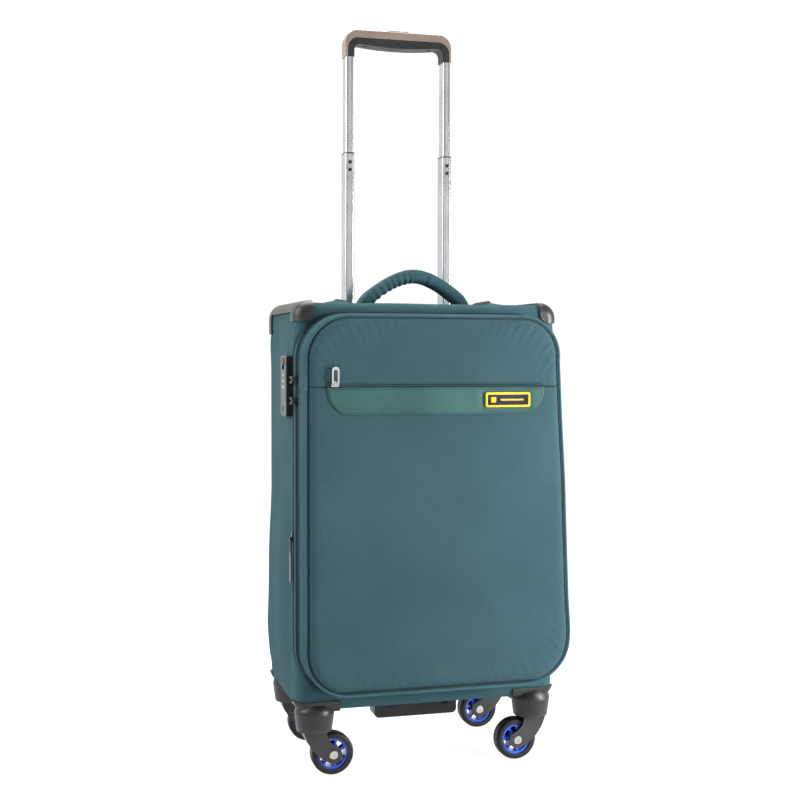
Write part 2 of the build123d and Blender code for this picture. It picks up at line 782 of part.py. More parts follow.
with BuildPart() as tube_collars:
    with BuildSketch(Plane.XY.offset(middle_top + rub)):
        with Locations((-tube_x, tube_y), (tube_x, tube_y)):
            RectangleRounded(middle_tube[0], middle_tube[1], 2.8)
            RectangleRounded(upper_tube[0] + 0.4, upper_tube[1] + 0.4, 2.8, mode=Mode.SUBTRACT)
    extrude(amount=1.4)
write(tube_collars, "tube_collars")

with BuildPart() as tube_rivets:
    for side in (-tube_x, tube_x):
        for drop in (10.5, 20.0):
            with Locations((side, tube_y - middle_tube[1] / 2 - 0.4, middle_top - drop)):
                Cylinder(2.2, 0.7, rotation=(90, 0, 0))
write(tube_rivets, "tube_rivets")

upper_tubes = tube_pair(upper_tube, middle_top - 60.0, grip_bottom + 14.0)
write(upper_tubes, "upper_tubes")

# Grip: a plated cover over a soft body, with the button and the yoke of the release rods inside.
grip_round = 17.0
cover_leg = 3.2          # how far the cover wraps onto each leg
cover_band = 10.0        # height of the cover along the bar
underside_end = grip_top - 17.8
underside_mid = grip_top - 20.8
inner_leg = grip_half - grip_leg
button_length = 28.0
button_width = 14.0
button_rise = 2.4
yoke_top = 886.0
yoke_thick = 2.6


def arch(half, top, rounding):
    """The filled outline of the grip seen from the front, inside the current sketch."""
    with BuildLine() as outline:
        Line((-half, grip_bottom), (-half, top - rounding))
        RadiusArc((-half, top - rounding), (-half + rounding, top), rounding)
        Line((-half + rounding, top), (half - rounding, top))
        RadiusArc((half - rounding, top), (half, top - rounding), rounding)
        Line((half, top - rounding), (half, grip_bottom))
        Line((half, grip_bottom), (-half, grip_bottom))
    return make_face(outline.edges(), mode=Mode.PRIVATE)


def hand_opening():
    """The space under the bar: rounded inner corners and an underside that bows down."""
    shoulder = inner_leg - 8.0
    with BuildLine() as outline:
        Line((-inner_leg, grip_bottom - 1), (-inner_leg, underside_end - 8.0))
        RadiusArc((-inner_leg, underside_end - 8.0), (-shoulder, underside_end), 8.0)
        ThreePointArc((-shoulder, underside_end), (0, underside_mid), (shoulder, underside_end))
        RadiusArc((shoulder, underside_end), (inner_leg, underside_end - 8.0), 8.0)
        Line((inner_leg, underside_end - 8.0), (inner_leg, grip_bottom - 1))
        Line((inner_leg, grip_bottom - 1), (-inner_leg, grip_bottom - 1))
    return make_face(outline.edges(), mode=Mode.PRIVATE)


def grip_hollows():
    """Cuts the channels for the tubes, the rods, their yoke and the button from the current part."""
    for side in (-tube_x, tube_x):
        cuboid(
            (side - upper_tube[0] / 2 - 0.05, tube_y - upper_tube[1] / 2 - 0.05, grip_bottom - 1),
            (side + upper_tube[0] / 2 + 0.05, tube_y + upper_tube[1] / 2 + 0.05, grip_bottom + 14.2),
            Mode.SUBTRACT,
        )
        cuboid(
            (side - 3, tube_y - 4, grip_bottom + 6),
            (side + 3, tube_y + 4, yoke_top - 4),
            Mode.SUBTRACT,
        )
    cuboid(
        (-tube_x - 3, tube_y - 4, yoke_top - yoke_thick - 2.6), (tube_x + 3, tube_y + 4, yoke_top + 1.4),
        Mode.SUBTRACT,
    )
    cuboid(
        (-button_length / 2 - 0.3, tube_y - button_width / 2 - 0.3, yoke_top - 3),
        (button_length / 2 + 0.3, tube_y + button_width / 2 + 0.3, grip_top + 10),
        Mode.SUBTRACT,
    )


with BuildPart() as grip_body:
    with BuildSketch(facing_front(tube_y + grip_depth / 2 - 0.8)):
        add(arch(grip_half - cover_leg - rub, grip_top - cover_band - rub, grip_round - cover_leg))
        add(hand_opening(), mode=Mode.SUBTRACT)
    extrude(amount=grip_depth - 1.6)
    grip_hollows()
    # Two screw pockets under the bar.
    with Locations((-42, tube_y, underside_mid + 2), (42, tube_y, underside_mid + 2)):
        Cylinder(2.6, 3, mode=Mode.SUBTRACT)
write(grip_body, "grip_body")

with BuildPart() as grip_cover:
    with BuildSketch(facing_front(tube_y + grip_depth / 2)):
        add(arch(grip_half, grip_top, grip_round))
        add(
            arch(grip_half - cover_leg, grip_top - cover_band, grip_round - cover_leg),
            mode=Mode.SUBTRACT,
        )
    extrude(amount=grip_depth)
    outer_corner = grip_half - 6
    rim = grip_cover.edges().filter_by(
        lambda e: e.center().Z > grip_top - 1
        or (abs(e.center().X) > outer_corner and e.center().Z > grip_top - 9)
    )
    fillet(rim.group_by(Axis.Y)[0] + rim.group_by(Axis.Y)[-1], 2.2)
    grip_hollows()
write(grip_cover, "grip_cover")

with BuildPart() as push_button:
    cuboid(
        (-button_length / 2, tube_y - button_width / 2, yoke_top + rub),
        (button_length / 2, tube_y + button_width / 2, grip_top + button_rise),
    )
    fillet(push_button.edges().filter_by(Axis.Z), 3)
    fillet(push_button.faces().sort_by(Axis.Z)[-1].edges(), 1.6)
write(push_button, "push_button")

rod_low = middle_top - 50.0
with BuildPart() as release_rods:
    cuboid(
        (-tube_x - 2, tube_y - 3, yoke_top - yoke_thick), (tube_x + 2, tube_y + 3, yoke_top)
    )
    for side in (-tube_x, tube_x):
        cuboid((side - 2, tube_y - 3, rod_low), (side + 2, tube_y + 3, yoke_top - yoke_thick + 0.1))
write(release_rods, "release_rods")
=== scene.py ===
"""Looks of the softside upright suitcase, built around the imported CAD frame.

Metres, +Z up, front towards -Y.
"""
from math import cos, pi, radians, sin

import bmesh
import bpy
import numpy as np
from mathutils import Matrix, Vector, noise


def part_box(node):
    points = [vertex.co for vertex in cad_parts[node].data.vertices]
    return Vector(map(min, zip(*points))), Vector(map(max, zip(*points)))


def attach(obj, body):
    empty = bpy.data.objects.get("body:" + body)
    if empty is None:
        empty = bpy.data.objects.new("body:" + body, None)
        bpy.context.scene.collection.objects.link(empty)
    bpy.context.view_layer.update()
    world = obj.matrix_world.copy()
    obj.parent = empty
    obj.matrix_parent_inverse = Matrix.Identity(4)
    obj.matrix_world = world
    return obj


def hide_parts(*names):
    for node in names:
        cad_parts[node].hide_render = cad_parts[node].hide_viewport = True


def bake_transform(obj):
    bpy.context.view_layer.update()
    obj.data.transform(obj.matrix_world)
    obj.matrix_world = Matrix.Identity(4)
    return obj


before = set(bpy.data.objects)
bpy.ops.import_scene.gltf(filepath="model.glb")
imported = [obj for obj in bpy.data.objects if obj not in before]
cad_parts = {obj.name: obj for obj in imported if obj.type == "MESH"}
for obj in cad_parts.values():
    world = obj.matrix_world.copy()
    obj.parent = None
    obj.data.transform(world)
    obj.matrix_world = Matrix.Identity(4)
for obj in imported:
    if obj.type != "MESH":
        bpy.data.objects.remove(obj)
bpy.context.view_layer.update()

mm = 0.001
scene = bpy.context.scene

# ---- Driving sizes, read from the frame ----------------------------------------------------
body_low, body_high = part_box("case_shell")
lid_low, lid_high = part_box("lid_shell")
panel_low, panel_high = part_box("front_pocket")
upper_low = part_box("upper_panel")[0]
trim_low, trim_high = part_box("pocket_trim")
lock_low, lock_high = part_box("lock_body")
body_corner = 16 * mm
body_edge = 11 * mm
lid_inset = 2.6 * mm
corner = 54 * mm
half = lid_high.x + lid_inset
low = lid_low.z - lid_inset
high = lid_high.z + lid_inset
step_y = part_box("expansion_zip")[1].y + 0.1 * mm
front_y = body_low.y
back_y = body_high.y
cup_hole_x = 83.5 * mm
cup_hole_y = (66.5 * mm, 93.5 * mm)


def smooth(low_edge, high_edge, value):
    """0 below the low edge, 1 above the high edge, and a smooth step between."""
    t = np.clip((np.asarray(value, float) - low_edge) / (high_edge - low_edge), 0, 1)
    return t * t * (3 - 2 * t)


def bump(centre, width, value):
    """A bell that is 1 at the centre."""
    return np.exp(-(((np.asarray(value, float) - centre) / width) ** 2))


# ---- Outline stations ----------------------------------------------------------------------
side_steps = 46
corner_steps = 28
inner_x = half - corner
side_z = np.linspace(low + corner, high - corner, side_steps, endpoint=False)
top_x = np.concatenate([
    np.linspace(inner_x, cup_hole_x, 4, endpoint=False),
    np.linspace(cup_hole_x, -cup_hole_x, 24, endpoint=False),
    np.linspace(-cup_hole_x, -inner_x, 4, endpoint=False),
])
sides = [
    (0, [(inner_x, z) for z in side_z], (inner_x, high - corner)),
    (90, [(x, high - corner) for x in top_x], (-inner_x, high - corner)),
    (180, [(-inner_x, low + high - z) for z in side_z], (-inner_x, low + corner)),
    (270, [(-x, low + corner) for x in top_x], (inner_x, low + corner)),
]
anchors = []
normals = []
for turn, points, centre in sides:
    for point in points:
        anchors.append(point)
        normals.append((cos(radians(turn)), sin(radians(turn))))
    for angle in np.linspace(radians(turn), radians(turn + 90), corner_steps, endpoint=False):
        anchors.append(centre)
        normals.append((cos(angle), sin(angle)))
anchors = np.array(anchors)
normals = np.array(normals)
station_count = len(anchors)


def ring(y, inset=0.0):
    """The zip outline at depth y, inset by a margin. Both may vary from station to station."""
    inset = np.broadcast_to(inset, station_count)
    flat = anchors + normals * (corner - inset)[:, None]
    return np.column_stack([flat[:, 0], np.broadcast_to(y, station_count), flat[:, 1]])


def body_distance(flat):
    """Signed distance from the case body's rounded outline, seen from the front."""
    centre = np.array([0, (body_low.z + body_high.z) / 2])
    reach = np.array([body_high.x, (body_high.z - body_low.z) / 2]) - body_corner
    q = np.abs(flat - centre) - reach
    return np.hypot(*np.maximum(q, 0).T) + np.minimum(q.max(axis=1), 0) - body_corner


near = np.zeros(station_count)
far = np.full(station_count, 0.2)
for _ in range(40):
    middle = (near + far) / 2
    outside = body_distance(anchors + normals * middle[:, None]) > 0
    far = np.where(outside, middle, far)
    near = np.where(outside, near, middle)
body_points = anchors + normals * near[:, None]
tick = 1e-5
body_normals = np.column_stack([
    body_distance(body_points + [tick, 0]) - body_distance(body_points - [tick, 0]),
    body_distance(body_points + [0, tick]) - body_distance(body_points - [0, tick]),
])
body_normals /= np.linalg.norm(body_normals, axis=1)[:, None]
# How much of the body's front shows between its edge and the zip outline.
front_show = near - corner


def body_ring(y, inset=0.0):
    """The case body's outline at depth y, on the same stations as ring()."""
    inset = np.broadcast_to(inset, station_count)
    flat = body_points - body_normals * inset[:, None]
    return np.column_stack([flat[:, 0], np.broadcast_to(y, station_count), flat[:, 1]])


# ---- Mesh helpers --------------------------------------------------------------------------
def shade_smooth(mesh):
    for polygon in mesh.polygons:
        polygon.use_smooth = True


def mesh_object(name, points, faces, merge=1e-6):
    """A smooth-shaded object from points and faces, welded and with its normals outwards."""
    mesh = bpy.data.meshes.new(name)
    mesh.from_pydata([tuple(p) for p in points], [], faces)
    work = bmesh.new()
    work.from_mesh(mesh)
    bmesh.ops.remove_doubles(work, verts=work.verts, dist=merge)
    bmesh.ops.recalc_face_normals(work, faces=work.faces)
    work.to_mesh(mesh)
    work.free()
    shade_smooth(mesh)
    obj = bpy.data.objects.new(name, mesh)
    scene.collection.objects.link(obj)
    return obj


def grid_faces(rows, columns, wrap_columns=False, wrap_rows=False):
    """Quads over a grid of points stored row by row."""
    faces = []
    for row in range(rows if wrap_rows else rows - 1):
        for column in range(columns if wrap_columns else columns - 1):
            next_row = (row + 1) % rows
            next_column = (column + 1) % columns
            faces.append((
                row * columns + column, row * columns + next_column,
                next_row * columns + next_column, next_row * columns + column,
            ))
    return faces


def slab_faces(rows, columns):
    """Faces of a closed slab: a front grid, then a matching back grid, and the border between them."""
    count = rows * columns
    faces = grid_faces(rows, columns)
    faces += [tuple(i + count for i in face[::-1]) for face in grid_faces(rows, columns)]
    border = list(range(columns)) + [r * columns + columns - 1 for r in range(1, rows)]
    border += [(rows - 1) * columns + c for c in range(columns - 2, -1, -1)]
    border += [r * columns for r in range(rows - 2, 0, -1)]
    faces += [(a, b, b + count, a + count) for a, b in zip(border, border[1:] + border[:1])]
    return faces


def loft(name, rings, closed=False, **options):
    """A skin over closed rings of matched points. closed joins the last ring to the first."""
    points = np.concatenate(rings)
    faces = grid_faces(len(rings), len(rings[0]), wrap_columns=True, wrap_rows=closed)
    return mesh_object(name, points, faces, **options)


def dress(obj, body, material, replaces=()):
    """Gives a piece its material, slot, body and the CAD nodes that it stands for."""
    obj.data.materials.append(material)
    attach(obj, body)
    if replaces:
        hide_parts(*replaces)
    return obj


def sharpen(obj, angle=35):
    """Keeps the creases of a hard part crisp under smooth shading."""
    shade_smooth(obj.data)
    obj.data.set_sharp_from_angle(angle=radians(angle))
    return obj


def resample(path, pitch, closed=False):
    """Evenly spaced points along a path, with their unit tangents."""
    path = np.asarray(path, float)
    if closed:
        path = np.vstack([path, path[:1]])
    lengths = np.concatenate([[0], np.cumsum(np.linalg.norm(np.diff(path, axis=0), axis=1))])
    count = max(2, int(round(lengths[-1] / pitch)))
    at = (np.arange(count) + 0.5) * lengths[-1] / count

    def point_at(distance):
        return np.column_stack([np.interp(distance, lengths, path[:, k]) for k in range(3)])

    nudge = 0.1 * mm
    tangents = point_at(np.minimum(at + nudge, lengths[-1])) - point_at(np.maximum(at - nudge, 0))
    tangents /= np.linalg.norm(tangents, axis=1)[:, None]
    return point_at(at), tangents


def repeat_unit(name, unit, unit_faces, points, tangents, outward, offsets=None):
    """Copies a small unit shape along a path. Its own axes are tangent, across and outward."""
    outward = np.broadcast_to(outward, points.shape)
    outward = outward - tangents * np.sum(outward * tangents, axis=1)[:, None]
    outward = outward / np.linalg.norm(outward, axis=1)[:, None]
    across = np.cross(outward, tangents)
    if offsets is not None:
        points = points + across * np.asarray(offsets)[:, None]
    unit = np.asarray(unit)
    placed = (
        points[:, None, :]
        + tangents[:, None, :] * unit[None, :, 0, None]
        + across[:, None, :] * unit[None, :, 1, None]
        + outward[:, None, :] * unit[None, :, 2, None]
    ).reshape(-1, 3)
    faces = [tuple(i + k * len(unit) for i in face) for k in range(len(points)) for face in unit_faces]
    return mesh_object(name, placed, faces, merge=1e-7)


def pill(length, width, height, sides=6, sections=5):
    """A small rounded capsule lying along its first axis, sunk a little into the surface."""
    points = []
    for s in np.linspace(-1, 1, sections):
        swell = max(0.25, (1 - abs(s) ** 2.6) ** 0.5)
        for k in range(sides):
            angle = 2 * pi * k / sides
            points.append((s * length / 2, cos(angle) * width / 2 * swell, sin(angle) * height * swell))
    faces = grid_faces(sections, sides, wrap_columns=True)
    faces.append(tuple(range(sides)))
    faces.append(tuple(range((sections - 1) * sides, sections * sides)))
    return points, faces


def outward_at(points, path, outward):
    """The outward direction at each point: the nearest path point's, or one for them all."""
    if np.ndim(outward) == 1:
        return outward
    source = np.asarray(path, float)
    nearest = [int(np.argmin(np.sum((source - p) ** 2, axis=1))) for p in points]
    return np.asarray(outward, float)[nearest]


def stitches(name, path, outward, body, material, pitch=3.4 * mm, closed=False):
    """A row of sewn stitches along a path."""
    points, tangents = resample(path, pitch, closed)
    unit, faces = pill(pitch * 0.7, 0.75 * mm, 0.38 * mm)
    obj = repeat_unit(name, unit, faces, points, tangents, outward_at(points, path, outward))
    return dress(obj, body, material)


def zip_teeth(name, path, outward, body, material, pitch=1.6 * mm, closed=False):
    """A zip chain: teeth that reach in from both tapes by turns."""
    points, tangents = resample(path, pitch, closed)
    unit, faces = pill(pitch * 0.86, 2.6 * mm, 0.9 * mm)
    offsets = np.where(np.arange(len(points)) % 2, 0.55, -0.55) * mm
    outward = outward_at(points, path, outward)
    obj = repeat_unit(name, unit, faces, points, tangents, outward, offsets)
    return dress(obj, body, material)


def noise_at(points, scale, seed=0.0):
    """Smooth noise from -1 to 1 at each point."""
    shift = Vector((seed, seed * 1.7, seed * 0.3))
    return np.array([noise.noise(Vector(p) * scale + shift) for p in points])


# ---- Materials -----------------------------------------------------------------------------
class Shader:
    """Builds one procedural material around a Principled shader."""

    def __init__(self, name, **sockets):
        self.material = bpy.data.materials.new(name)
        self.material.use_nodes = True
        self.tree = self.material.node_tree
        self.surface = self.tree.nodes["Principled BSDF"]
        for socket, value in sockets.items():
            self.surface.inputs[socket.replace("_", " ")].default_value = value
        coordinates = self.tree.nodes.new("ShaderNodeTexCoord")
        self.place = coordinates.outputs["Object"]

    def feed(self, socket, value):
        """Links a node's output to a socket, or sets the socket to a plain value."""
        if isinstance(value, bpy.types.NodeSocket):
            self.tree.links.new(value, socket)
        else:
            socket.default_value = value

    def node(self, kind, **inputs):
        made = self.tree.nodes.new("ShaderNode" + kind)
        for name, value in inputs.items():
            if name.startswith("set_"):
                setattr(made, name[4:], value)
        for name, value in inputs.items():
            if name.startswith("set_"):
                continue
            numbered = name[0] == "i" and name[1:].isdigit()
            self.feed(made.inputs[int(name[1:]) if numbered else name.replace("_", " ")], value)
        return made

    def noise(self, scale, detail=3.0, roughness=0.55, vector=None):
        vector = vector or self.place
        made = self.node("TexNoise", Vector=vector, Scale=scale, Detail=detail, Roughness=roughness)
        return made.outputs["Fac"]

    def stretch(self, low_in, high_in, low_out, high_out, value):
        made = self.node("MapRange", Value=value)
        for index, number in zip((1, 2, 3, 4), (low_in, high_in, low_out, high_out)):
            made.inputs[index].default_value = number
        return made.outputs[0]

    def mix(self, factor, first, second):
        made = self.node("Mix", set_data_type="RGBA")
        for index, value in ((0, factor), (6, first), (7, second)):
            self.feed(made.inputs[index], value)
        return made.outputs[2]

    def math(self, operation, first, second=0.0):
        return self.node("Math", set_operation=operation, i0=first, i1=second).outputs[0]

    def link(self, output, socket):
        self.tree.links.new(output, self.surface.inputs[socket])

    def relief(self, height, strength, distance, before=None):
        made = self.node("Bump", Height=height, Strength=strength, Distance=distance)
        if before is not None:
            self.tree.links.new(before, made.inputs["Normal"])
        return made.outputs["Normal"]


def rgb(text, alpha=1.0):
    """A linear colour from an sRGB hex code."""
    values = [int(text[k:k + 2], 16) / 255 for k in (0, 2, 4)]
    linear = [v / 12.92 if v <= 0.04045 else ((v + 0.055) / 1.055) ** 2.4 for v in values]
    return (*linear, alpha)


def woven(name, dark, light, period=0.7 * mm, depth=0.3, sheen=0.0, blotch=9.0):
    """Plain-woven polyester: crossing threads, slubs and slow random changes of tone, with painted shade
    darkening the gaps between the threads.
    """
    shader = Shader(name, Roughness=0.82, Sheen_Weight=sheen, Sheen_Roughness=0.45)
    shader.surface.inputs["Specular IOR Level"].default_value = 0.08
    axes = shader.node("SeparateXYZ", Vector=shader.place)
    across = shader.math("ADD", axes.outputs[0], axes.outputs[1])
    along = shader.math("MULTIPLY_ADD", axes.outputs[1], 0.61)
    shader.tree.links.new(axes.outputs[2], along.node.inputs[2])
    threads = shader.node("CombineXYZ", X=across, Y=along)
    # A wave texture of scale 0.314 / w repeats every w, so each wave spans two threads.
    wave_scale = 0.314 / period / 2
    warp, weft = [
        shader.node("TexWave", Vector=threads.outputs[0], set_bands_direction=way, Scale=wave_scale,
                    Distortion=0.0)
        for way in ("X", "Y")
    ]
    over = shader.node("TexChecker", Vector=threads.outputs[0], Scale=1 / period)
    height = shader.mix(over.outputs["Fac"], warp.outputs["Color"], weft.outputs["Color"])
    slub = shader.noise(420, detail=2.0)
    cloudy = shader.noise(blotch, detail=4.0)
    shade = shader.mix(shader.stretch(0.3, 0.7, 0, 1, cloudy), rgb(dark), rgb(light))
    thread = shader.mix(shader.stretch(0.25, 0.8, 0.0, 0.4, slub), shade, rgb(dark))
    # Painted shade: the colour darkens towards near-black 10181a in the low gaps between the threads, where
    # shade would fall.
    gap_shaded = shader.mix(shader.stretch(0.0, 0.45, 0.28, 0.0, height), thread, rgb("10181a"))
    shader.link(gap_shaded, "Base Color")
    shader.link(shader.stretch(0.2, 0.8, 0.74, 0.92, slub), "Roughness")
    first = shader.relief(height, depth, 0.25 * mm)
    shader.link(shader.relief(slub, 0.3, 0.4 * mm, first), "Normal")
    return shader.material


def moulded(name, dark, light, roughness=0.5, grain=900, depth=0.35, wear=0.35, coat=0.0, gloss=0.25):
    """Moulded plastic with a fine grain, scuffs and paler worn edges."""
    shader = Shader(name, Coat_Weight=coat, Coat_Roughness=0.15)
    shader.surface.inputs["Specular IOR Level"].default_value = gloss
    fine = shader.noise(grain, detail=2.0)
    cloudy = shader.noise(24, detail=5.0)
    edge = shader.node("NewGeometry").outputs["Pointiness"]
    base = shader.mix(shader.stretch(0.35, 0.65, 0, 1, cloudy), rgb(dark), rgb(light))
    worn = shader.mix(shader.stretch(0.52, 0.62, 0.0, wear, edge), base, rgb("8d8b88"))
    shader.link(worn, "Base Color")
    shader.link(shader.stretch(0.3, 0.7, roughness - 0.08, roughness + 0.1, cloudy), "Roughness")
    shader.link(shader.relief(fine, depth, 0.3 * mm), "Normal")
    return shader.material


def metal(name, dark, light, roughness=0.3, brushed=None, scratch=0.2):
    """Bare, plated or anodised metal with faint brushing and handling marks."""
    shader = Shader(name, Metallic=1.0)
    stretched = shader.node("Mapping", Vector=shader.place, Scale=brushed or (1, 1, 1))
    grain = shader.noise(900, detail=3.0, vector=stretched.outputs[0])
    cloudy = shader.noise(30, detail=5.0)
    shader.link(shader.mix(shader.stretch(0.3, 0.7, 0, 1, cloudy), rgb(dark), rgb(light)), "Base Color")
    shader.link(shader.stretch(0.3, 0.7, roughness - 0.06, roughness + 0.08, grain), "Roughness")
    shader.link(shader.relief(grain, scratch, 0.05 * mm), "Normal")
    return shader.material


def leather(name, dark, light):
    """Cross-hatched coated leather: two sets of fine slanting ridges under a soft gloss, with painted shade
    darkening the grooves between them.
    """
    shader = Shader(name)
    shader.surface.inputs["Specular IOR Level"].default_value = 0.25
    turned = shader.node("Mapping", Vector=shader.place, Rotation=(0, radians(38), 0))
    other = shader.node("Mapping", Vector=shader.place, Rotation=(0, radians(-52), 0))
    ridges = [
        shader.node("TexWave", Vector=way.outputs[0], set_bands_direction="X", Scale=150.0, Distortion=3.0,
                    Detail=2.0, Detail_Scale=1.5).outputs["Color"]
        for way in (turned, other)
    ]
    height = shader.math("MAXIMUM", ridges[0], ridges[1])
    cloudy = shader.noise(16, detail=4.0)
    base = shader.mix(shader.stretch(0.3, 0.7, 0, 1, cloudy), rgb(dark), rgb(light))
    # Painted shade: the colour darkens towards 12282a in the low grooves between the ridges, where shade
    # would fall.
    shader.link(shader.mix(shader.stretch(0.1, 0.6, 0.45, 0.0, height), base, rgb("12282a")), "Base Color")
    shader.link(shader.stretch(0.2, 0.8, 0.62, 0.5, height), "Roughness")
    shader.link(shader.relief(height, 0.45, 0.3 * mm), "Normal")
    return shader.material


fabric = woven("teal_weave", "2e4a50", "38555a")
fabric_panel = woven("teal_weave_front", "2c444b", "364f56", blotch=6.0)
fabric_band = woven("teal_weave_band", "2c454b", "365056", period=0.6 * mm)
piping_cloth = woven("teal_piping", "2f4d54", "3d5b62", period=0.6 * mm)
lining_cloth = woven("grey_lining", "4b4e51", "606467", period=0.5 * mm, depth=0.2, sheen=0.2)
webbing_cloth = woven("black_webbing", "151719", "232629", period=1.6 * mm, depth=0.8, sheen=0.05)
zip_tape = woven("zip_tape", "1b3036", "263f45", period=0.6 * mm, depth=0.5)
trim_leather = leather("saffiano_teal", "1c403d", "28504c")
tab_leather = leather("tab_brown", "231a18", "382a26")
thread_dark = moulded("thread_dark", "16262a", "203439", roughness=0.75, wear=0.0)
zip_coil = moulded("zip_coil", "060a0c", "0c1417", roughness=0.45, wear=0.0)
guard_plastic = moulded("guard_plastic", "161617", "222122", roughness=0.4, wear=0.04, gloss=0.4)
black_plastic = moulded("black_plastic", "080809", "0e0e0f", roughness=0.3, grain=700, wear=0.04)
lock_plastic = moulded("lock_grey", "424143", "504f51", roughness=0.38, wear=0.08)
dial_plastic = moulded("dial_light", "a9a8a4", "bdbcb7", roughness=0.35, wear=0.0)
champagne = moulded(
    "grip_champagne", "67584f", "7c6c62", roughness=0.26, grain=1500, depth=0.06, wear=0.04, coat=0.4
)
grip_rubber = moulded("grip_soft", "0f0f10", "191919", roughness=0.42, grain=1200, wear=0.03)
hub_plastic = moulded(
    "hub_blue", "0a3aa6", "1358d0", roughness=0.22, grain=200, depth=0.05, wear=0.05, coat=0.5
)
tyre_rubber = moulded("tyre_rubber", "0a0b0e", "121417", roughness=0.5, grain=500, depth=0.4, wear=0.05)
plate_enamel = moulded("plate_yellow", "c9a212", "e4bd20", roughness=0.3, wear=0.0, coat=0.4)
inlay_enamel = moulded("plate_navy", "06061c", "0d0d2b", roughness=0.3, wear=0.0, coat=0.5)
board_fibre = moulded("board", "4a4038", "5c5147", roughness=0.8, grain=300)
anodised = metal("tube_aluminium", "b2b4b7", "c8cacd", roughness=0.2, brushed=(6, 6, 0.15), scratch=0.08)
gunmetal = metal("gunmetal", "3a3b3f", "56575c", roughness=0.28)
nickel = metal("nickel", "a8a6a1", "cbc9c4", roughness=0.16, scratch=0.1)
steel = metal("spring_steel", "7c7e80", "999b9d", roughness=0.3)
slot_materials = {
    "teal_fabric": fabric, "leather_trim": trim_leather, "lining_cloth": lining_cloth, "board": board_fibre,
    "spring_steel": steel, "dark_plastic": guard_plastic, "black_plastic": black_plastic,
    "tube_aluminium": anodised, "grip_soft": grip_rubber, "grip_champagne": champagne,
    "tyre_rubber": tyre_rubber, "hub_blue": hub_plastic, "zip_dark": zip_tape, "gunmetal": gunmetal,
    "nickel": nickel, "lock_grey": lock_plastic, "dial_light": dial_plastic, "plate_yellow": plate_enamel,
    "webbing": webbing_cloth,
}

# ---- Carried-over CAD nodes ----------------------------------------------------------------
for name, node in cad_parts.items():
    for holder in node.material_slots:
        holder.material = slot_materials[holder.material.name.split(".")[0]]
    sharpen(node)

# The axle screws sit in the same node as each caster fork, so they get their metal by place.
for place in ("front_left", "front_right", "back_left", "back_right"):
    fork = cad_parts[f"caster_fork_{place}"]
    hub_low, hub_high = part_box(f"wheel_hub_{place}")
    axle = (hub_low + hub_high) / 2
    fork.data.materials.append(nickel)
    for polygon in fork.data.polygons:
        offset = polygon.center - axle
        if (offset.x ** 2 + offset.z ** 2) ** 0.5 < 4.75 * mm and abs(offset.y) > 9 * mm:
            polygon.material_index = len(fork.data.materials) - 1

# The lock's outer face is grey and its walls are black.
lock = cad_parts["lock_body"]
lock.data.materials.append(black_plastic)
for polygon in lock.data.polygons:
    if polygon.normal.x > -0.5:
        polygon.material_index = len(lock.data.materials) - 1

# ---- Shape of the soft parts ---------------------------------------------------------------
def by_height(z, heights, amounts):
    """An amount that changes with height, given in millimetres at a few heights in millimetres."""
    return np.interp(z, np.array(heights) * mm, np.array(amounts) * mm)


def flare(points, share=1.0):
    """The lid's free right side sags: it leans in near the top and spreads low down."""
    points = np.array(points, float)
    amount = by_height(
        points[:, 2],
        [100, 130, 165, 204, 270, 345, 420, 485, 539],
        [2.0, 5.5, 7.5, 4.8, 2.2, -0.5, -5.0, -8.0, -4.0],
    )
    # It starts from nothing at the hinge line, so that the lid can turn.
    ahead = smooth(-69 * mm, -94 * mm, points[:, 1])
    points[:, 0] += share * amount * ahead * smooth(20 * mm, 150 * mm, points[:, 0])
    return points


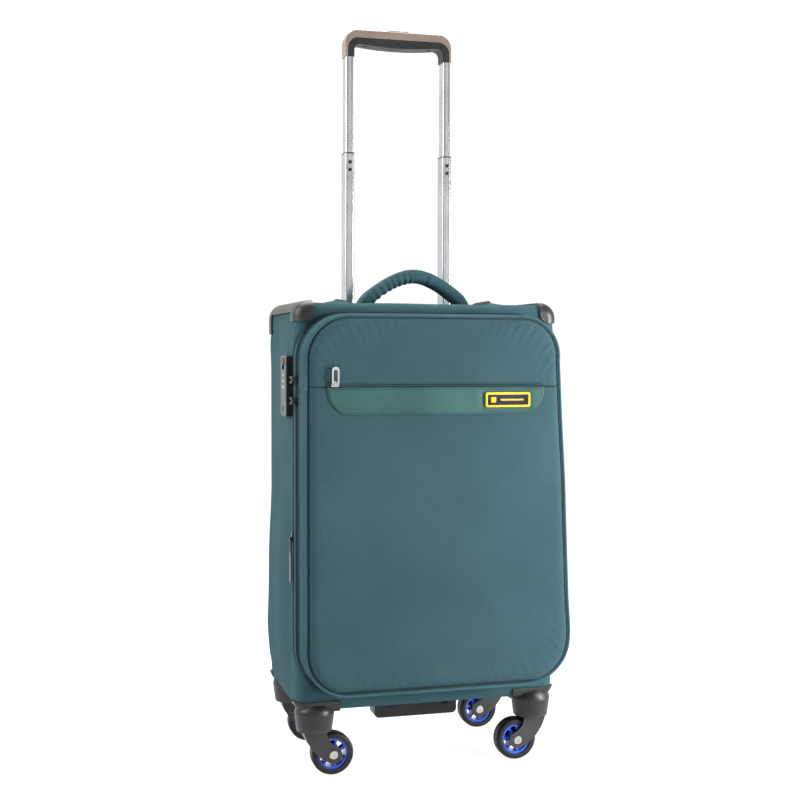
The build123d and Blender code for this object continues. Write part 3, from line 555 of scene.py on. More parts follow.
def body_soften(points):
    """Padding, humps and folds of the case body's cloth."""
    points = np.array(points, float)
    x, y, z = points.T
    on_side = smooth(0.9, 1.0, np.abs(x) / body_high.x)
    clear = smooth(95 * mm, 150 * mm, z) * smooth(516 * mm, 470 * mm, z)
    deep = smooth(-40 * mm, 0.0, y) * smooth(105 * mm, 60 * mm, y)
    from_lock = np.maximum(
        np.maximum(lock_low.z - 6 * mm - z, z - lock_high.z - 6 * mm), y - lock_high.y - 6 * mm
    )
    from_grab = np.maximum(np.abs(y - 22 * mm) - 18 * mm, np.abs(z - 307 * mm) - 92 * mm)
    free = np.where(x < 0, smooth(0, 30 * mm, from_lock), smooth(0, 22 * mm, from_grab))
    wave = noise_at(points, 14, 3.0)
    points[:, 0] += np.sign(x) * on_side * clear * deep * free * (1.6 + 1.5 * wave) * mm
    # The left side sags outwards low down, most of all towards the back.
    belly = by_height(
        z, [92, 120, 160, 235, 300, 390, 430, 470], [2.5, 6.5, 8.8, 7.0, 4.2, 2.4, 0.8, 0.0]
    )
    belly = on_side * belly * smooth(-46 * mm, -10 * mm, y) * smooth(100 * mm, 70 * mm, y)
    points[:, 0] -= np.where(x < 0, belly, 0)
    # Soft upright folds hang below the corner guards.
    fold = np.sin(y / (7.5 * mm) + 2.4 * noise_at(points, 25, 9.0))
    under_guard = smooth(470 * mm, 505 * mm, z) * smooth(517 * mm, 508 * mm, z)
    behind_front = smooth(-48 * mm, -30 * mm, y)
    points[:, 0] += np.sign(x) * on_side * under_guard * behind_front * fold * 0.8 * mm * free
    # The top rises on each side of the carry handle and dips a little in the middle.
    on_top = smooth(0.985, 0.998, z / body_high.z)
    hump = bump(96 * mm, 15 * mm, np.abs(x)) * bump(5 * mm, 30 * mm, y)
    ripple = 0.7 * noise_at(points, 22, 5.0) * smooth(60 * mm, 40 * mm, y)
    points[:, 2] += on_top * (4.6 * hump + ripple) * mm
    # The back pads out, with two long ridges where the fixed tubes press from inside.
    on_back = smooth(0.97, 1.0, y / back_y)
    away = (
        smooth(150 * mm, 120 * mm, np.abs(x))
        * smooth(90 * mm, 130 * mm, z) * smooth(540 * mm, 505 * mm, z)
    )
    ridges = bump(63.6 * mm, 12 * mm, np.abs(x))
    points[:, 1] += on_back * away * (1.2 + 1.6 * ridges + 0.6 * noise_at(points, 11, 1.0)) * mm
    return points


# ---- Case body cloth -----------------------------------------------------------------------
quarter = np.radians([90, 70, 50, 30, 12])
side_depths = np.array([98, 93.5, 86, 80, 73, 66.5, 58, 48, 38, 28, 18, 8, -2, -12, -22, -32, -40]) * mm
back_centre = np.array([0, back_y, (body_low.z + body_high.z) / 2])
rings = []
for share in np.linspace(0, 1, 26)[1:]:
    rings.append(back_centre + (body_ring(back_y, body_edge) - back_centre) * share)
for angle in quarter[1:]:
    rings.append(body_ring(back_y - body_edge * (1 - sin(angle)), body_edge * (1 - cos(angle))))
for depth in side_depths:
    rings.append(body_ring(depth))
edge_radius = np.clip(front_show * 0.9, 0.05 * mm, body_edge)
edge_y = step_y + (front_y - step_y) * smooth(0, 9 * mm, front_show)
rings.append(body_ring(step_y))
for angle in quarter[::-1]:
    rings.append(body_ring(
        np.minimum(step_y, edge_y + edge_radius * (1 - sin(angle))), edge_radius * (1 - cos(angle))
    ))
last = rings[-1]
rim = ring(edge_y, 0.1 * mm)
for share in (0.5, 1.0):
    rings.append(last + (rim - last) * share)
rings.append(ring(step_y, 0.4 * mm))
rings.append(ring(step_y, 7.2 * mm))
rings.append(ring(step_y + 3 * mm, 7.4 * mm))
rings.append(ring(-18 * mm, 7.4 * mm))
softened = [body_soften(r) for r in rings]
case_cloth = loft("case_cloth", softened)
work = bmesh.new()
work.from_mesh(case_cloth.data)
# The back's centre closes as one face, and the recessed cup's opening is cut from the top.
centre_edges = [e for e in work.edges if e.is_boundary and e.verts[0].co.y > back_y - 5 * mm]
bmesh.ops.contextual_create(work, geom=centre_edges)
holes = []
for face in work.faces:
    x, y, z = face.calc_center_median()
    if z > body_high.z - 8 * mm and abs(x) < cup_hole_x and cup_hole_y[0] < y < cup_hole_y[1]:
        holes.append(face)
bmesh.ops.delete(work, geom=holes, context="FACES")
work.to_mesh(case_cloth.data)
work.free()
shade_smooth(case_cloth.data)
dress(case_cloth, "case", fabric, ["case_shell"])

# ---- Expansion fold, zips and lid ----------------------------------------------------------
def outline_sweep(name, profile, share=1.0, closed=True):
    """A profile of (inset, y) pairs, in millimetres, carried around the zip outline."""
    return loft(name, [flare(ring(y * mm, inset * mm), share) for inset, y in profile], closed=closed)


expansion_profile = [
    (8.9, -64.9), (1.0, -64.9), (-0.1, -62.6), (-0.9, -59.0), (-1.1, -56.5), (-0.7, -53.6),
    (0.4, -50.6), (7.7, -50.3), (7.7, -20.3), (8.9, -20.3),
]
expansion_fold = outline_sweep("expansion_fold", expansion_profile, 0.9)
dress(expansion_fold, "expansion", fabric_band, ["expansion_band"])

expansion_tape = outline_sweep(
    "expansion_tape", [(5.1, -47.2), (0.2, -47.2), (0.1, -48.6), (0.2, -49.9), (5.1, -49.9)], 0.4
)
dress(expansion_tape, "case", zip_tape, ["expansion_zip"])
outline_outward = np.column_stack([normals[:, 0], np.zeros(station_count), normals[:, 1]])
expansion_chain = flare(ring(-48.6 * mm, -0.2 * mm), 0.4)
zip_teeth("expansion_teeth", expansion_chain, outline_outward, "case", zip_coil, closed=True)

main_tape = outline_sweep(
    "main_tape", [(5.1, -64.0), (-0.3, -64.0), (-0.5, -65.5), (-0.3, -68.0), (5.1, -68.0)], 0.95
)
dress(main_tape, "expansion", zip_tape, ["main_zip"])
# The zip stops short of the hinge: no teeth there, and the lid's tape is drawn in under the strip.
station_z = ring(0)[:, 2]
at_hinge = (normals[:, 0] > 0.99) & (station_z > 162 * mm) & (station_z < 484 * mm)
drawn_in = np.where(at_hinge, 2.4 * mm, 0.0)
lid_tape = loft("lid_tape", [
    flare(ring(y * mm, inset * mm + drawn_in))
    for inset, y in ((2.6, -68.3), (0.2, -68.3), (0.0, -69.4), (1.2, -70.8), (2.6, -70.8))
], closed=True)
dress(lid_tape, "lid", zip_tape)
after_hinge = np.flatnonzero(at_hinge)[-1] + 1
before_hinge = np.flatnonzero(at_hinge)[0]
zip_run = [k % station_count for k in range(after_hinge, station_count + before_hinge)]
main_chain = ring(-66.6 * mm, -0.6 * mm)[zip_run]
zip_teeth("main_teeth", main_chain, outline_outward[zip_run], "expansion", zip_coil)

lid_profile = [
    (5.6, -100.0), (5.6, -69.0), (4.0, -68.5), (2.7, -69.5), (1.6, -72.0), (1.3, -74.6),
    (1.7, -77.2), (2.9, -79.0), (3.3, -79.6), (2.9, -80.2), (1.9, -83.0), (1.5, -87.0),
    (1.4, -92.0), (1.5, -97.0), (2.2, -99.8), (3.6, -101.6), (6.0, -102.9), (14.0, -103.0),
]
lid_rings = [flare(ring(y * mm, inset * mm)) for inset, y in lid_profile]
lid_centre = np.array([0, -103.0 * mm, (low + high) / 2])
front_ring = ring(-103.0 * mm, 14 * mm)
for share in np.linspace(1, 0.1, 8)[1:]:
    lid_rings.append(flare(lid_centre + (front_ring - lid_centre) * share))
back_ring = ring(-102.2 * mm, 9 * mm)
back_centre_lid = np.array([0, -102.2 * mm, (low + high) / 2])
lid_start = [
    flare(back_centre_lid + (back_ring - back_centre_lid) * share) for share in np.linspace(0.1, 1, 6)
]
lid_cloth = loft("lid_cloth", lid_start + lid_rings)
work = bmesh.new()
work.from_mesh(lid_cloth.data)
for y_side in (-102.2 * mm, -103.0 * mm):
    edges = [e for e in work.edges if e.is_boundary and abs(e.verts[0].co.y - y_side) < 0.3 * mm]
    bmesh.ops.contextual_create(work, geom=edges)
bmesh.ops.recalc_face_normals(work, faces=work.faces)
work.to_mesh(lid_cloth.data)
work.free()
shade_smooth(lid_cloth.data)
dress(lid_cloth, "lid", fabric_band, ["lid_shell"])



def round_profile(across, along, half_across, half_along, sides):
    """Points round an ellipse in a plane."""
    return [
        (across + half_across * cos(a), along + half_along * sin(a))
        for a in np.linspace(0, 2 * pi, sides, endpoint=False)
    ]


lid_piping = outline_sweep("piping", round_profile(3.5, -102.9, 2.0, 2.3, 14))
dress(lid_piping, "lid", piping_cloth, ["lid_piping"])
# Painted shadow: a thin dark cord in thread_dark laid in the groove between the piping and the front panels,
# standing in for the shade in that groove.
dress(outline_sweep("piping_groove_painted_shadow", round_profile(6.0, -103.7, 1.2, 1.0, 8)), "lid", thread_dark)

panel_inset = 6.4 * mm
panel_back = -103.1 * mm


def front_panel(name, low_z, high_z, face_y, split, seed):
    """A padded front panel inside the piping, crowned towards its middle and closed behind.

    face_y is the depth it reaches, and split the height of the straight edge at the pocket's mouth.
    """
    rows = 84
    columns = 76
    shown = half - panel_inset
    radius = corner - panel_inset
    spread = np.linspace(-1, 1, columns)
    spread = np.sign(spread) * np.abs(spread) ** 0.8
    rise = np.linspace(0, 1, rows)
    tall = high_z - low_z
    # Rows crowd a little towards both ends.
    heights = low_z + tall * (0.5 - 0.5 * np.cos(pi * rise)) * 0.5 + tall * rise * 0.5
    points = []
    for z in heights:
        drop = max(0, (low + corner) - z, z - (high - corner))
        width = shown - radius + (radius ** 2 - min(drop, radius) ** 2) ** 0.5
        for u in spread:
            points.append((u * width, panel_back, z))
    points = np.array(points)
    grid = points.reshape(rows, columns, 3)
    x = grid[:, :, 0]
    z = grid[:, :, 2]
    width_at = np.abs(grid[:, -1, 0])[:, None]
    outer_end = np.where(split > (low_z + high_z) / 2, z - low_z, high_z - z)
    split_end = np.abs(z - split)
    # Distance to the piping, taken round the corners too.
    middle = (low + high) / 2
    centre_gap = np.hypot(
        np.maximum(np.abs(x) - (shown - radius), 0),
        np.maximum(np.abs(z - middle) - ((high - low) / 2 - corner), 0),
    )
    from_ends = np.minimum(width_at - np.abs(x), outer_end)
    margin = np.clip(np.minimum(radius - centre_gap, from_ends), 0, 1)
    roll = np.clip(1 - (1 - np.clip(margin / (15 * mm), 0, 1)) ** 2.6, 0, 1) ** 0.5
    depth = panel_back - face_y
    crown = 1.5 * mm * smooth(10 * mm, 70 * mm, margin)
    near_band = smooth(trim_low.z - 30 * mm, trim_low.z - 4 * mm, z) * smooth(470 * mm, 458 * mm, z)
    crown = crown * (1 - near_band)
    wave = noise_at(points, 8, seed) + 0.45 * noise_at(points, 19, seed + 4)
    wave = wave.reshape(rows, columns)
    # Short puckers run in from the sewn edge where the cloth was eased on to the piping.
    around = np.arctan2(z - middle, x) * 60
    pucker = np.sin(around * 2.1 + 2.5 * noise_at(points, 12, seed + 8).reshape(rows, columns))
    pucker *= (
        smooth(2 * mm, 8 * mm, margin) * smooth(46 * mm, 10 * mm, margin) * (1 - near_band)
    )
    lip = 1.7 * mm * np.clip(1 - split_end / (2.6 * mm), 0, 1) ** 2
    front = grid.copy()
    front[:, :, 1] -= depth * roll + crown
    cushion = 1.1 * mm * wave * smooth(4 * mm, 30 * mm, margin) + 0.42 * mm * pucker
    front[:, :, 1] -= cushion * (1 - 0.9 * near_band)
    front[:, :, 1] += lip * roll
    back = grid.copy()
    back[:, :, 1] += 0.1 * mm
    both = np.concatenate([flare(front.reshape(-1, 3)), flare(back.reshape(-1, 3))])
    return mesh_object(name, both, slab_faces(rows, columns), merge=1e-7)


pocket = front_panel(
    "pocket_cloth", low + 8.0 * mm, panel_high.z, panel_low.y, panel_high.z, 2.0
)
dress(pocket, "lid", fabric_panel, ["front_pocket"])
upper = front_panel(
    "upper_cloth", upper_low.z, high - panel_inset, upper_low.y - 0.6 * mm, upper_low.z, 7.0
)
dress(upper, "lid", fabric_panel, ["upper_panel"])

# ---- Leather band, name plate and pocket zip -------------------------------------------------
plate_low, plate_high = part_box("name_plate")
plate_x = (plate_low.x + plate_high.x) / 2
plate_z = (plate_low.z + plate_high.z) / 2
trim_top = trim_high.z
trim_bottom = trim_low.z
trim_half = 132.3 * mm
trim_sweep = 22 * mm
start = np.array([trim_half, trim_top])
chord = np.array([-trim_sweep, trim_bottom - trim_top])
heading = np.array([0.12, -1.0]) / np.hypot(0.12, 1.0)
inward = np.array([heading[1], -heading[0]])
trim_radius = chord @ chord / (2 * chord @ inward)
trim_centre = start + inward * trim_radius


def trim_width(z):
    """Half the leather band's width at a height."""
    return trim_centre[0] + (trim_radius ** 2 - (z - trim_centre[1]) ** 2) ** 0.5


def trim_surface(x, z):
    """Depth of the leather band's face: it follows the padded pocket under it."""
    edge = np.minimum(trim_width(z) - np.abs(x), np.minimum(z - trim_bottom, trim_top - z))
    swell = 0.25 * mm * smooth(0, 12 * mm, edge)
    roll = 0.9 * mm * (1 - np.clip(edge / (1.6 * mm), 0, 1)) ** 2
    plate = np.maximum(
        np.abs(x - plate_x) - (plate_high.x - plate_low.x) / 2,
        np.abs(z - plate_z) - (plate_high.z - plate_low.z) / 2,
    )
    pressed = smooth(10.0 * mm, 0.5 * mm, plate)
    return trim_low.y + 0.1 * mm - (0.5 * mm + swell) * (1 - pressed) + roll * (1 - pressed)


trim_rows = 40
trim_columns = 200
trim_front = []
for z in np.linspace(trim_bottom, trim_top, trim_rows):
    for u in np.linspace(-1, 1, trim_columns):
        x = u * trim_width(z)
        trim_front.append((x, float(trim_surface(np.array(x), np.array(z))), z))
trim_front = np.array(trim_front)
trim_back = trim_front.copy()
trim_back[:, 1] = trim_high.y + 0.1 * mm
trim_points = np.concatenate([flare(trim_front), flare(trim_back)])
trim = mesh_object("leather_band", trim_points, slab_faces(trim_rows, trim_columns))
dress(trim, "lid", trim_leather, ["pocket_trim"])


def on_trim(x, z):
    """Points just in front of the leather band's face."""
    return flare(np.column_stack([x, trim_surface(x, z) - 0.1 * mm, z]))


def trim_path(inset):
    """The leather band's outline, inset by a margin, on its face."""
    path = []
    for z in np.linspace(trim_top - inset, trim_bottom + inset, 24):
        path.append((trim_width(z) - inset, z))
    for x in np.linspace(trim_width(trim_bottom) - inset, inset - trim_width(trim_bottom), 60):
        path.append((x, trim_bottom + inset))
    for z in np.linspace(trim_bottom + inset, trim_top - inset, 24):
        path.append((inset - trim_width(z), z))
    flat = np.array(path)
    return on_trim(flat[:, 0], flat[:, 1])


stitch_inset = 2.4 * mm
stitches("band_stitch_outer", trim_path(stitch_inset), (0, -1, 0), "lid", thread_dark)
top_stitch_x = np.linspace(-128, 128, 90) * mm
top_line = on_trim(top_stitch_x, np.full(len(top_stitch_x), trim_top - stitch_inset))
stitches("band_stitch_top", top_line, (0, -1, 0), "lid", thread_dark)

# ---- Linings and straps inside -----------------------------------------------------------------
def rounded_box_ring(y, half_x, z_low, z_high, radius, wrinkle=0.0, seed=0.0):
    """A rounded rectangle at depth y, with a loose cloth's wrinkles."""
    points = []
    for turn, cx, cz in (
        (0, half_x - radius, z_high - radius), (90, radius - half_x, z_high - radius),
        (180, radius - half_x, z_low + radius), (270, half_x - radius, z_low + radius),
    ):
        for angle in np.radians(np.linspace(turn, turn + 90, 9)):
            points.append((cx + radius * cos(angle), y, cz + radius * sin(angle)))
    points = np.array(points)
    points, _ = resample(points, (2 * half_x + z_high - z_low) * 2 / 220, closed=True)
    centre = np.array([0, y, (z_low + z_high) / 2])
    inward = centre - points
    inward /= np.linalg.norm(inward, axis=1)[:, None]
    sag = (noise_at(points, 16, seed) + 0.6 * noise_at(points, 40, seed + 2)) * wrinkle
    return points + inward * np.maximum(sag, -0.4 * wrinkle)[:, None]


def same_count(rings):
    """Cuts rings to one count of points."""
    count = min(len(r) for r in rings)
    return [np.array([r[int(k * len(r) / count)] for k in range(count)]) for r in rings]


def capped(name, rings, first_centre=None, last_centre=None, steps=9):
    """A lofted shell whose two ends close on a centre point, their own middle if none is given."""
    first_centre = rings[0].mean(axis=0) if first_centre is None else first_centre
    last_centre = rings[-1].mean(axis=0) if last_centre is None else last_centre
    start = [first_centre + (rings[0] - first_centre) * s for s in np.linspace(0.02, 1, steps)[:-1]]
    end = [last_centre + (rings[-1] - last_centre) * s for s in np.linspace(1, 0.02, steps)[1:]]
    every = start + list(rings) + end
    columns = len(every[0])
    faces = grid_faces(len(every), columns, wrap_columns=True)
    last = (len(every) - 1) * columns
    faces += [tuple(range(columns)), tuple(range(last, last + columns))]
    return mesh_object(name, np.concatenate(every), faces)


liner_low, liner_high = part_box("lining")
liner_mid = (liner_low.z + liner_high.z) / 2
liner_rings = []
for depth in np.linspace(liner_high.y, liner_low.y, 12):
    inset = 3.0 * mm if depth > liner_high.y - 1 * mm else 0.0
    liner_rings.append(rounded_box_ring(
        depth, liner_high.x - inset, liner_low.z + inset, liner_high.z - inset, 20 * mm, 0.0
    ))
for depth in np.linspace(liner_low.y, liner_high.y - 2.0 * mm, 26):
    lift = 2.2 * mm * smooth(liner_low.y, liner_low.y + 12 * mm, depth)
    liner_rings.append(rounded_box_ring(
        depth, liner_high.x - 1.4 * mm, liner_low.z + 1.4 * mm, liner_high.z - 1.4 * mm,
        19 * mm, float(lift), 4.0
    ))
liner = capped(
    "lining_cloth", same_count(liner_rings),
    np.array([0, liner_high.y, liner_mid]), np.array([0, liner_high.y - 2.0 * mm, liner_mid]), 14,
)
dress(liner, "case", lining_cloth, ["lining"])

lid_liner_low, lid_liner_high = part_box("lid_lining")
lid_liner_mid = (lid_liner_low.z + lid_liner_high.z) / 2
gap = 0.3 * mm
liner_inset = half - lid_liner_high.x
lid_liner_rings = [
    flare(ring(y, inset)) for y, inset in (
        (lid_liner_low.y + gap, liner_inset + 2 * mm), (lid_liner_low.y + 1.2 * mm, liner_inset + gap),
        (-90 * mm, liner_inset + gap), (-80 * mm, liner_inset + gap),
        (lid_liner_high.y, liner_inset + gap),
        (lid_liner_high.y, liner_inset + 1.4 * mm), (-80 * mm, liner_inset + 1.8 * mm),
        (-90 * mm, liner_inset + 2.0 * mm), (lid_liner_low.y + 2.6 * mm, liner_inset + 2.2 * mm),
        (lid_liner_low.y + 1.6 * mm, liner_inset + 4 * mm),
    )
]
lid_liner = capped(
    "lid_lining_cloth", lid_liner_rings,
    np.array([0, lid_liner_low.y + gap, lid_liner_mid]),
    np.array([0, lid_liner_low.y + 1.6 * mm, lid_liner_mid]), 18,
)
dress(lid_liner, "lid", lining_cloth, ["lid_lining"])

strap_low, strap_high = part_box("packing_straps")


strap_width = 25 * mm
strap_thick = 1.5 * mm


def flat_strap(start, end, sag, outward=(0, -1, 0), steps=40):
    """A webbing strap between two points, with a soft sag along outward."""
    start = np.array(start, float)
    end = np.array(end, float)
    out = np.array(outward, float)
    along = (end - start) / np.linalg.norm(end - start)
    across = np.cross(along, out)
    profile = [
        (-0.5, -0.5), (-0.5, 0.0), (-0.46, 0.5), (-0.2, 0.56), (0.0, 0.5), (0.2, 0.56),
        (0.46, 0.5), (0.5, 0.0), (0.5, -0.5),
    ]
    rings = []
    for t in np.linspace(0, 1, steps):
        centre = start + (end - start) * t + out * sag * sin(pi * t)
        rings.append(np.array([
            centre + across * u * strap_width + out * v * strap_thick for u, v in profile
        ]))
    return rings


strap_mid_z = (strap_low.z + strap_high.z) / 2
strap_y = strap_high.y - 0.9 * mm
strap_points = []
strap_faces = []
for strap_rings in (
    flat_strap((-92 * mm, strap_y, strap_low.z), (-92 * mm, strap_y, strap_high.z), 1.6 * mm),
    flat_strap((92 * mm, strap_y, strap_low.z), (92 * mm, strap_y, strap_high.z), 1.6 * mm),
    flat_strap(
        (-79.5 * mm, strap_y - 1.6 * mm, strap_mid_z), (79.5 * mm, strap_y - 1.6 * mm, strap_mid_z),
        1.0 * mm,
    ),
):
    base = len(strap_points)
    columns = len(strap_rings[0])
    strap_points += [p for r in strap_rings for p in r]
    around = grid_faces(len(strap_rings), columns, wrap_columns=True)
    strap_faces += [tuple(i + base for i in face) for face in around]
    for end in (base, base + (len(strap_rings) - 1) * columns):
        strap_faces.append(tuple(range(end, end + columns)))
straps = mesh_object("packing_webbing", strap_points, strap_faces)
dress(straps, "case", webbing_cloth, ["packing_straps"])

buckle_half = (24 * mm, 16 * mm)
buckle_face = strap_low.y + 0.1 * mm
buckle_rings = []
for depth, inset in (
    (strap_y - 3.0 * mm, 0.3), (buckle_face + 1.6 * mm, 0.0), (buckle_face + 0.4 * mm, 0.5),
    (buckle_face, 1.6),
):
    buckle_rings.append(rounded_box_ring(
        depth, buckle_half[0] - inset * mm, strap_mid_z - buckle_half[1] + inset * mm,
        strap_mid_z + buckle_half[1] - inset * mm, 5 * mm
    ))
buckle = capped(
    "strap_buckle", same_count(buckle_rings), np.array([0, strap_y - 3.0 * mm, strap_mid_z]),
    np.array([0, buckle_face + 0.5 * mm, strap_mid_z]), 6,
)
dress(sharpen(buckle), "case", black_plastic)

# ---- Carry handles -----------------------------------------------------------------------------
def padded_sweep(centres, outward, across, widths, heights, power=2.6, sides=36):
    """Rings of a padded strap, a rounded section carried along centres, and the section's angles."""
    rings = []
    angles = np.linspace(0, 2 * pi, sides, endpoint=False)
    a = np.sign(np.cos(angles)) * np.abs(np.cos(angles)) ** (2 / power)
    b = np.sign(np.sin(angles)) * np.abs(np.sin(angles)) ** (2 / power)
    for centre, out, width, height in zip(centres, outward, widths, heights):
        rings.append(
            np.asarray(centre)[None, :] + np.asarray(across)[None, :] * (a * width / 2)[:, None]
            + np.asarray(out)[None, :] * (b * height / 2)[:, None]
        )
    return rings, angles


grip_low, grip_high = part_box("carry_handle")
grip_y = (grip_low.y + grip_high.y) / 2
arc_thick = 16.4 * mm
arc_span = 76 * mm
arc_x = np.linspace(-arc_span, arc_span, 150)
arc_crown = grip_high.z - 0.3 * mm - arc_thick / 2
arc_z = arc_crown - 33.4 * mm * (np.sqrt(arc_x ** 2 + (9 * mm) ** 2) / (62 * mm)) ** 1.7 + 1.2 * mm
arc_points = np.column_stack([arc_x, np.full(len(arc_x), grip_y), arc_z])
arc_slope = np.gradient(arc_z, arc_x)
arc_out = np.column_stack([-arc_slope, np.zeros(len(arc_x)), np.ones(len(arc_x))])
arc_out /= np.linalg.norm(arc_out, axis=1)[:, None]
turns = radians(59) * arc_x / arc_span
end_share = smooth(radians(60), radians(43), np.abs(turns))
arc_widths = (9 + 18.6 * end_share) * mm
arc_heights = (7 + 9.0 * end_share) * mm
handle_rings, section = padded_sweep(arc_points, arc_out, (0, 1, 0), arc_widths, arc_heights)
shaped = []
for turn, out, points in zip(turns, arc_out, handle_rings):
    degrees = turn * 180 / pi
    under = smooth(0.3, -0.7, np.sin(section))
    front = smooth(-0.2, -0.8, np.cos(section))
    gather = 0.75 * np.sin(degrees * 1.15 + 1.3 * noise.noise(Vector((degrees * 0.09, 0.0, 0.0)))) * float(
        smooth(-52, -38, degrees) * smooth(4, -10, degrees))
    pleat = 1.1 * float(bump(14.5, 1.6, degrees)) - 0.7 * float(bump(11.5, 1.4, degrees))
    soft = noise_at(points, 26, 12.0) * 0.7 + noise_at(points, 60, 2.0) * 0.25
    sink = (under * gather + front * (0.55 * gather + pleat) + soft) * mm
    middle = points.mean(axis=0)
    direction = points - middle
    direction /= np.linalg.norm(direction, axis=1)[:, None]
    shaped.append(points + direction * sink[:, None] * float(smooth(radians(59), radians(50), abs(turn))))
handle_cloth = capped("carry_handle_cloth", shaped, steps=6)
dress(handle_cloth, "top_handle", fabric, ["carry_handle"])
middle_rows = slice(18, -18)
for side, edge in (("front", -1), ("back", 1)):
    lean = arc_out + np.array([0, edge * 0.6, 0])
    seam = arc_points + arc_out * (arc_thick / 2 - 1.9 * mm) + np.array([0, edge * 12.3 * mm, 0])
    stitches(
        f"carry_stitch_{side}", seam[middle_rows], lean[middle_rows], "top_handle", thread_dark,
        pitch=3.2 * mm,
    )

side_low, side_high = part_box("side_handle")
side_mid_y = (side_low.y + side_high.y) / 2
side_mid_z = (side_low.z + side_high.z) / 2
side_half = (side_high.z - side_low.z) / 2
side_t = np.linspace(-1, 1, 90)
rise = smooth(1.0, 0.25, np.abs(side_t))
outer_x = side_low.x + 2.6 * mm + (side_high.x - side_low.x - 3.2 * mm) * rise
side_heights = (2.4 + 2.4 * smooth(0.86, 0.62, np.abs(side_t))) * mm
side_centres = np.column_stack([
    outer_x - side_heights / 2, np.full(len(side_t), side_mid_y), side_mid_z + side_t * (side_half - 0.6 * mm)
])
side_widths = (24 + 3.4 * smooth(0.9, 0.7, np.abs(side_t))) * mm
side_out = np.array([(1, 0, 0)] * len(side_t))
side_rings, _ = padded_sweep(
    side_centres, side_out, (0, 1, 0), side_widths, side_heights, power=3.4, sides=28
)
for points in side_rings:
    points[:, 0] += noise_at(points, 30, 6.0) * 0.35 * mm
side_cloth = capped("side_handle_cloth", side_rings, steps=5)
dress(side_cloth, "side_grab", fabric, ["side_handle"])
for edge in (-1, 1):
    seam_y = np.full(len(side_t), side_mid_y + edge * 9.6 * mm)
    seam = np.column_stack([outer_x + 0.15 * mm, seam_y, side_centres[:, 2]])[8:-8]
    place = "front" if edge < 0 else "back"
    stitches(f"side_handle_stitch_{place}", seam, (1, 0, 0), "side_grab", thread_dark)
for end in (-1, 1):
    box_z = side_mid_z + end * (side_half - 10 * mm)
    square = [(-8, -6), (8, -6), (8, 6), (-8, 6), (-8, -6), (8, 6), (8, -6), (-8, 6)]
    path = np.array([
        (side_low.x + 2.75 * mm, side_mid_y + u * mm, box_z + v * mm) for u, v in square
    ])
    place = "low" if end < 0 else "high"
    stitches(
        f"side_handle_box_{place}", path, (1, 0, 0), "side_grab", thread_dark, pitch=2.4 * mm
    )


def top_surface(x, y):
    """Height of the body's soft top beside the carry handle."""
    hump = float(bump(96 * mm, 15 * mm, abs(x)) * bump(5 * mm, 30 * mm, y))
    return body_high.z + 4.6 * hump * mm


tab_steps = 16
for side, name in ((-1, "left"), (1, "right")):
    rows = []
    for u in np.linspace(-1, 1, tab_steps):
        for v in np.linspace(-1, 1, tab_steps):
            # The pad's outline is a rounded square, so the grid is drawn in at its corners.
            x = side * (88.5 * mm + 9.5 * mm * u * (1 - 0.10 * v * v))
            y = grip_y + 12.5 * mm * v * (1 - 0.10 * u * u)
            rim = min(1 - abs(u), 1 - abs(v))
            lift = 0.25 + 1.5 * min(1.0, rim / 0.16) ** 0.6
            rows.append((x, y, top_surface(x, y) + lift * mm))
    under = [(x, y, top_surface(x, y) - 1.0 * mm) for x, y, _ in rows]
    tab = mesh_object(f"handle_tab_{name}", rows + under, slab_faces(tab_steps, tab_steps))
    dress(tab, "case", tab_leather)
    loop = [(-7.4, -10), (7.4, -10), (7.4, 10), (-7.4, 10)]
    edge_points = []
    for (u0, v0), (u1, v1) in zip(loop, loop[1:] + loop[:1]):
        for t in np.linspace(0, 1, 10, endpoint=False):
            x = side * (88.5 + u0 + (u1 - u0) * t) * mm
            y = grip_y + (v0 + (v1 - v0) * t) * mm
            edge_points.append((x, y, top_surface(x, y) + 1.8 * mm))
    stitches(
        f"handle_tab_stitch_{name}", edge_points, (0, 0, 1), "case", thread_dark,
        pitch=2.6 * mm, closed=True,
    )

for side, name in ((-1, "left"), (1, "right")):
    seam_rings = []
    x = side * 77 * mm
    for y in np.linspace(grip_y - 2 * mm, -45 * mm, 40):
        section = round_profile(x, top_surface(x, y) + 0.1 * mm, 0.7 * mm, 0.5 * mm, 8)
        seam_rings.append(np.array([(u, y, z) for u, z in section]))
    dress(capped(f"top_seam_{name}", seam_rings, steps=2), "case", thread_dark)

# ---- Pocket zip and name plate inlay -------------------------------------------------------------
zip_low, zip_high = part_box("pocket_zip")
zip_mid = (zip_low.z + zip_high.z) / 2
half_gap = 0.25 * mm
for name, z_from, z_to, stands_for in (
    ("lower", zip_low.z, zip_mid - half_gap, ["pocket_zip"]),
    ("upper", zip_mid + half_gap, zip_high.z, ()),
):
    rings = []
    for x in np.linspace(zip_low.x, zip_high.x, 90):
        wobble = 0.12 * mm * noise.noise(Vector((x * 60, 3.0, 1.0)))
        roll = [
            (zip_high.y, z_from), (zip_low.y + 0.3 * mm, z_from),
            (zip_low.y - 0.1 * mm, (z_from + z_to) / 2),
            (zip_low.y + 0.3 * mm, z_to), (zip_high.y, z_to),
        ]
        rings.append(np.array([(x, y, z + wobble) for y, z in roll]))
    half_tape = loft(f"pocket_zip_{name}", [flare(r) for r in rings])
    dress(half_tape, "lid", fabric_panel, stands_for)
chain_x = np.linspace(zip_low.x + 3 * mm, zip_high.x - 3 * mm, 60)
chain = np.column_stack([
    chain_x, np.full(len(chain_x), zip_high.y - 0.7 * mm), np.full(len(chain_x), zip_mid)
])
zip_teeth("pocket_teeth", flare(chain), (0, -1, 0), "lid", zip_coil, pitch=1.5 * mm)

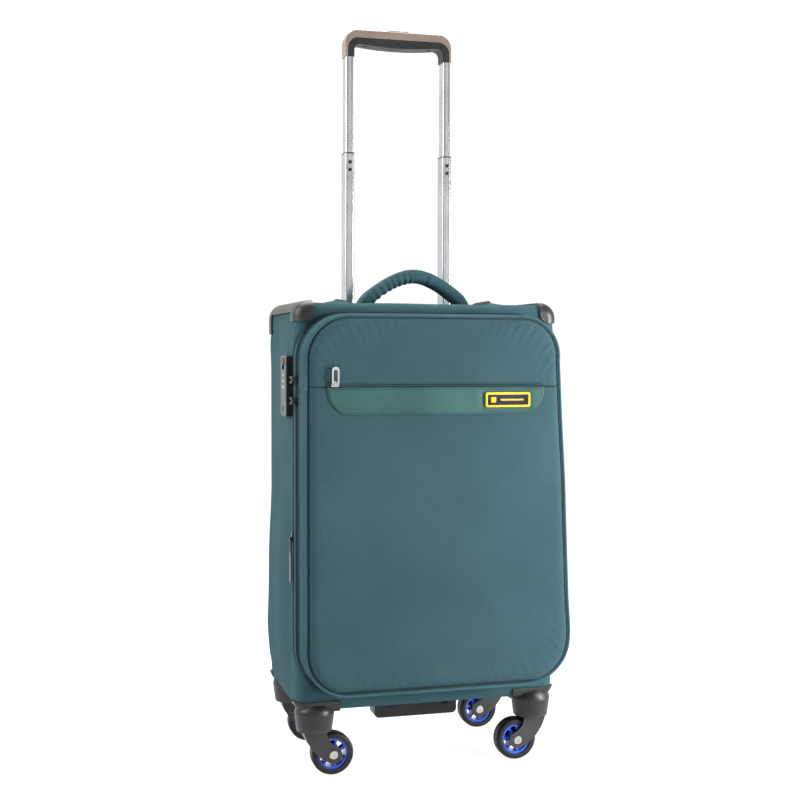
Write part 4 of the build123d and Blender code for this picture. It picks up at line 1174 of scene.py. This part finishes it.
plate_rim = 2.3 * mm
inlay_half = (
    (plate_high.x - plate_low.x) / 2 - plate_rim, (plate_high.z - plate_low.z) / 2 - plate_rim
)


def plate_slab(name, centre_x, half_x, half_z, y_front, y_back, radius, material):
    """A small rounded slab on the name plate."""
    rings = []
    for depth, inset in ((y_back, 0.0), (y_front + 0.15 * mm, 0.0), (y_front, 0.15 * mm)):
        points = []
        for turn, cx, cz in ((0, 1, 1), (90, -1, 1), (180, -1, -1), (270, 1, -1)):
            for angle in np.radians(np.linspace(turn, turn + 90, 6)):
                points.append((
                    centre_x + cx * (half_x - radius) + (radius - inset) * cos(angle), depth,
                    plate_z + cz * (half_z - radius) + (radius - inset) * sin(angle),
                ))
        rings.append(np.array(points))
    slab = capped(
        name, rings, np.array([centre_x, y_back, plate_z]), np.array([centre_x, y_front, plate_z]), 3
    )
    return dress(sharpen(slab), "lid", material)


recess = plate_high.y - 0.9 * mm
raised = recess - 0.55 * mm
square_half = 3.1 * mm
plate_slab(
    "plate_inlay", plate_x, *inlay_half, recess - 0.35 * mm, recess + 0.5 * mm, 1.0 * mm, inlay_enamel
)
plate_slab(
    "plate_bar", plate_x + 5 * mm, 14 * mm, 0.9 * mm, raised, recess, 0.5 * mm, plate_enamel
)
plate_slab(
    "plate_square", plate_x - 17.5 * mm, square_half, square_half, raised, recess, 0.9 * mm,
    plate_enamel,
)

# ---- Lid hinge strip -----------------------------------------------------------------------------
strip_z = np.linspace(150, 480, 90) * mm
strip_rings = []
for z in strip_z:
    section = [(0.3, -64.6), (-0.8, -65.2), (-0.9, -68.5), (-0.8, -71.6), (0.5, -72.2), (0.5, -68.5)]
    strip_rings.append(flare(np.array([(half - inset * mm, y * mm, z) for inset, y in section]), 0.97))
strip = capped("lid_hinge_strip", strip_rings, steps=3)
strip.data.materials.append(fabric_band)
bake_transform(strip)

# ---- Camera, light and floor ------------------------------------------------------------------
camera_data = bpy.data.cameras.new("camera")
camera_data.lens = 59.22
camera_data.sensor_width = 36.0
camera_data.clip_start = 0.05
camera = bpy.data.objects.new("camera", camera_data)
yaw = radians(15.556)
pitch = radians(-2.049)
roll = radians(0.096)
forward = Vector((sin(yaw) * cos(pitch), cos(yaw) * cos(pitch), sin(pitch)))
right = forward.cross(Vector((0, 0, 1))).normalized()
up = right.cross(forward)
rolled_right = right * cos(roll) + up * sin(roll)
rolled_up = up * cos(roll) - right * sin(roll)
camera.matrix_world = Matrix.Translation((-0.4472, -1.5442, 0.4931)) @ Matrix(
    (rolled_right, rolled_up, -forward)
).transposed().to_4x4()
scene.collection.objects.link(camera)
scene.camera = camera


def area_light(name, place, target, size, energy, colour=(1, 1, 1)):
    """A soft box that faces a target."""
    data = bpy.data.lights.new(name, "AREA")
    data.shape = "RECTANGLE"
    data.size, data.size_y = size
    data.energy = energy
    data.color = colour
    obj = bpy.data.objects.new(name, data)
    obj.location = place
    obj.rotation_euler = (Vector(target) - Vector(place)).to_track_quat("-Z", "Y").to_euler()
    scene.collection.objects.link(obj)


area_light("key", (0.78, -0.62, 0.42), (0.14, -0.1, 0.28), (0.3, 0.7), 23)
area_light("left_box", (-1.7, -0.2, 1.3), (-0.1, 0, 0.35), (1.2, 1.2), 34)
area_light("top_box", (-0.1, 0.5, 2.3), (0, 0, 0.45), (1.4, 1.4), 62)
area_light("reflector", (1.5, -5.0, 1.7), (0, 0.08, 0.7), (2.6, 3.2), 14)
# The room is pale in front of the suitcase and white behind it.
world = bpy.data.worlds.new("studio")
world.use_nodes = True
room = world.node_tree
direction = room.nodes.new("ShaderNodeTexCoord")
parts = room.nodes.new("ShaderNodeSeparateXYZ")
ramp = room.nodes.new("ShaderNodeMapRange")
for index, number in zip((1, 2, 3, 4), (-0.5, 0.5, 0.42, 1.02)):
    ramp.inputs[index].default_value = number
room.links.new(direction.outputs["Generated"], parts.inputs[0])
room.links.new(parts.outputs[1], ramp.inputs[0])
room.nodes["Background"].inputs["Color"].default_value = (1, 1, 1, 1)
room.links.new(ramp.outputs[0], room.nodes["Background"].inputs["Strength"])
scene.world = world
scene.view_settings.view_transform = "Standard"

floor_half = 60.0
floor_points = [(x, y, 0.0) for y in (-floor_half, floor_half) for x in (-floor_half, floor_half)]
floor = mesh_object("studio_floor", floor_points, [(0, 1, 3, 2)])
paper = Shader("studio_paper", Roughness=0.9, Emission_Color=(1, 1, 1, 1), Emission_Strength=0.93)
paper.link(paper.mix(paper.noise(1.5), rgb("6c6c6c"), rgb("707070")), "Base Color")
floor.data.materials.append(paper.material)
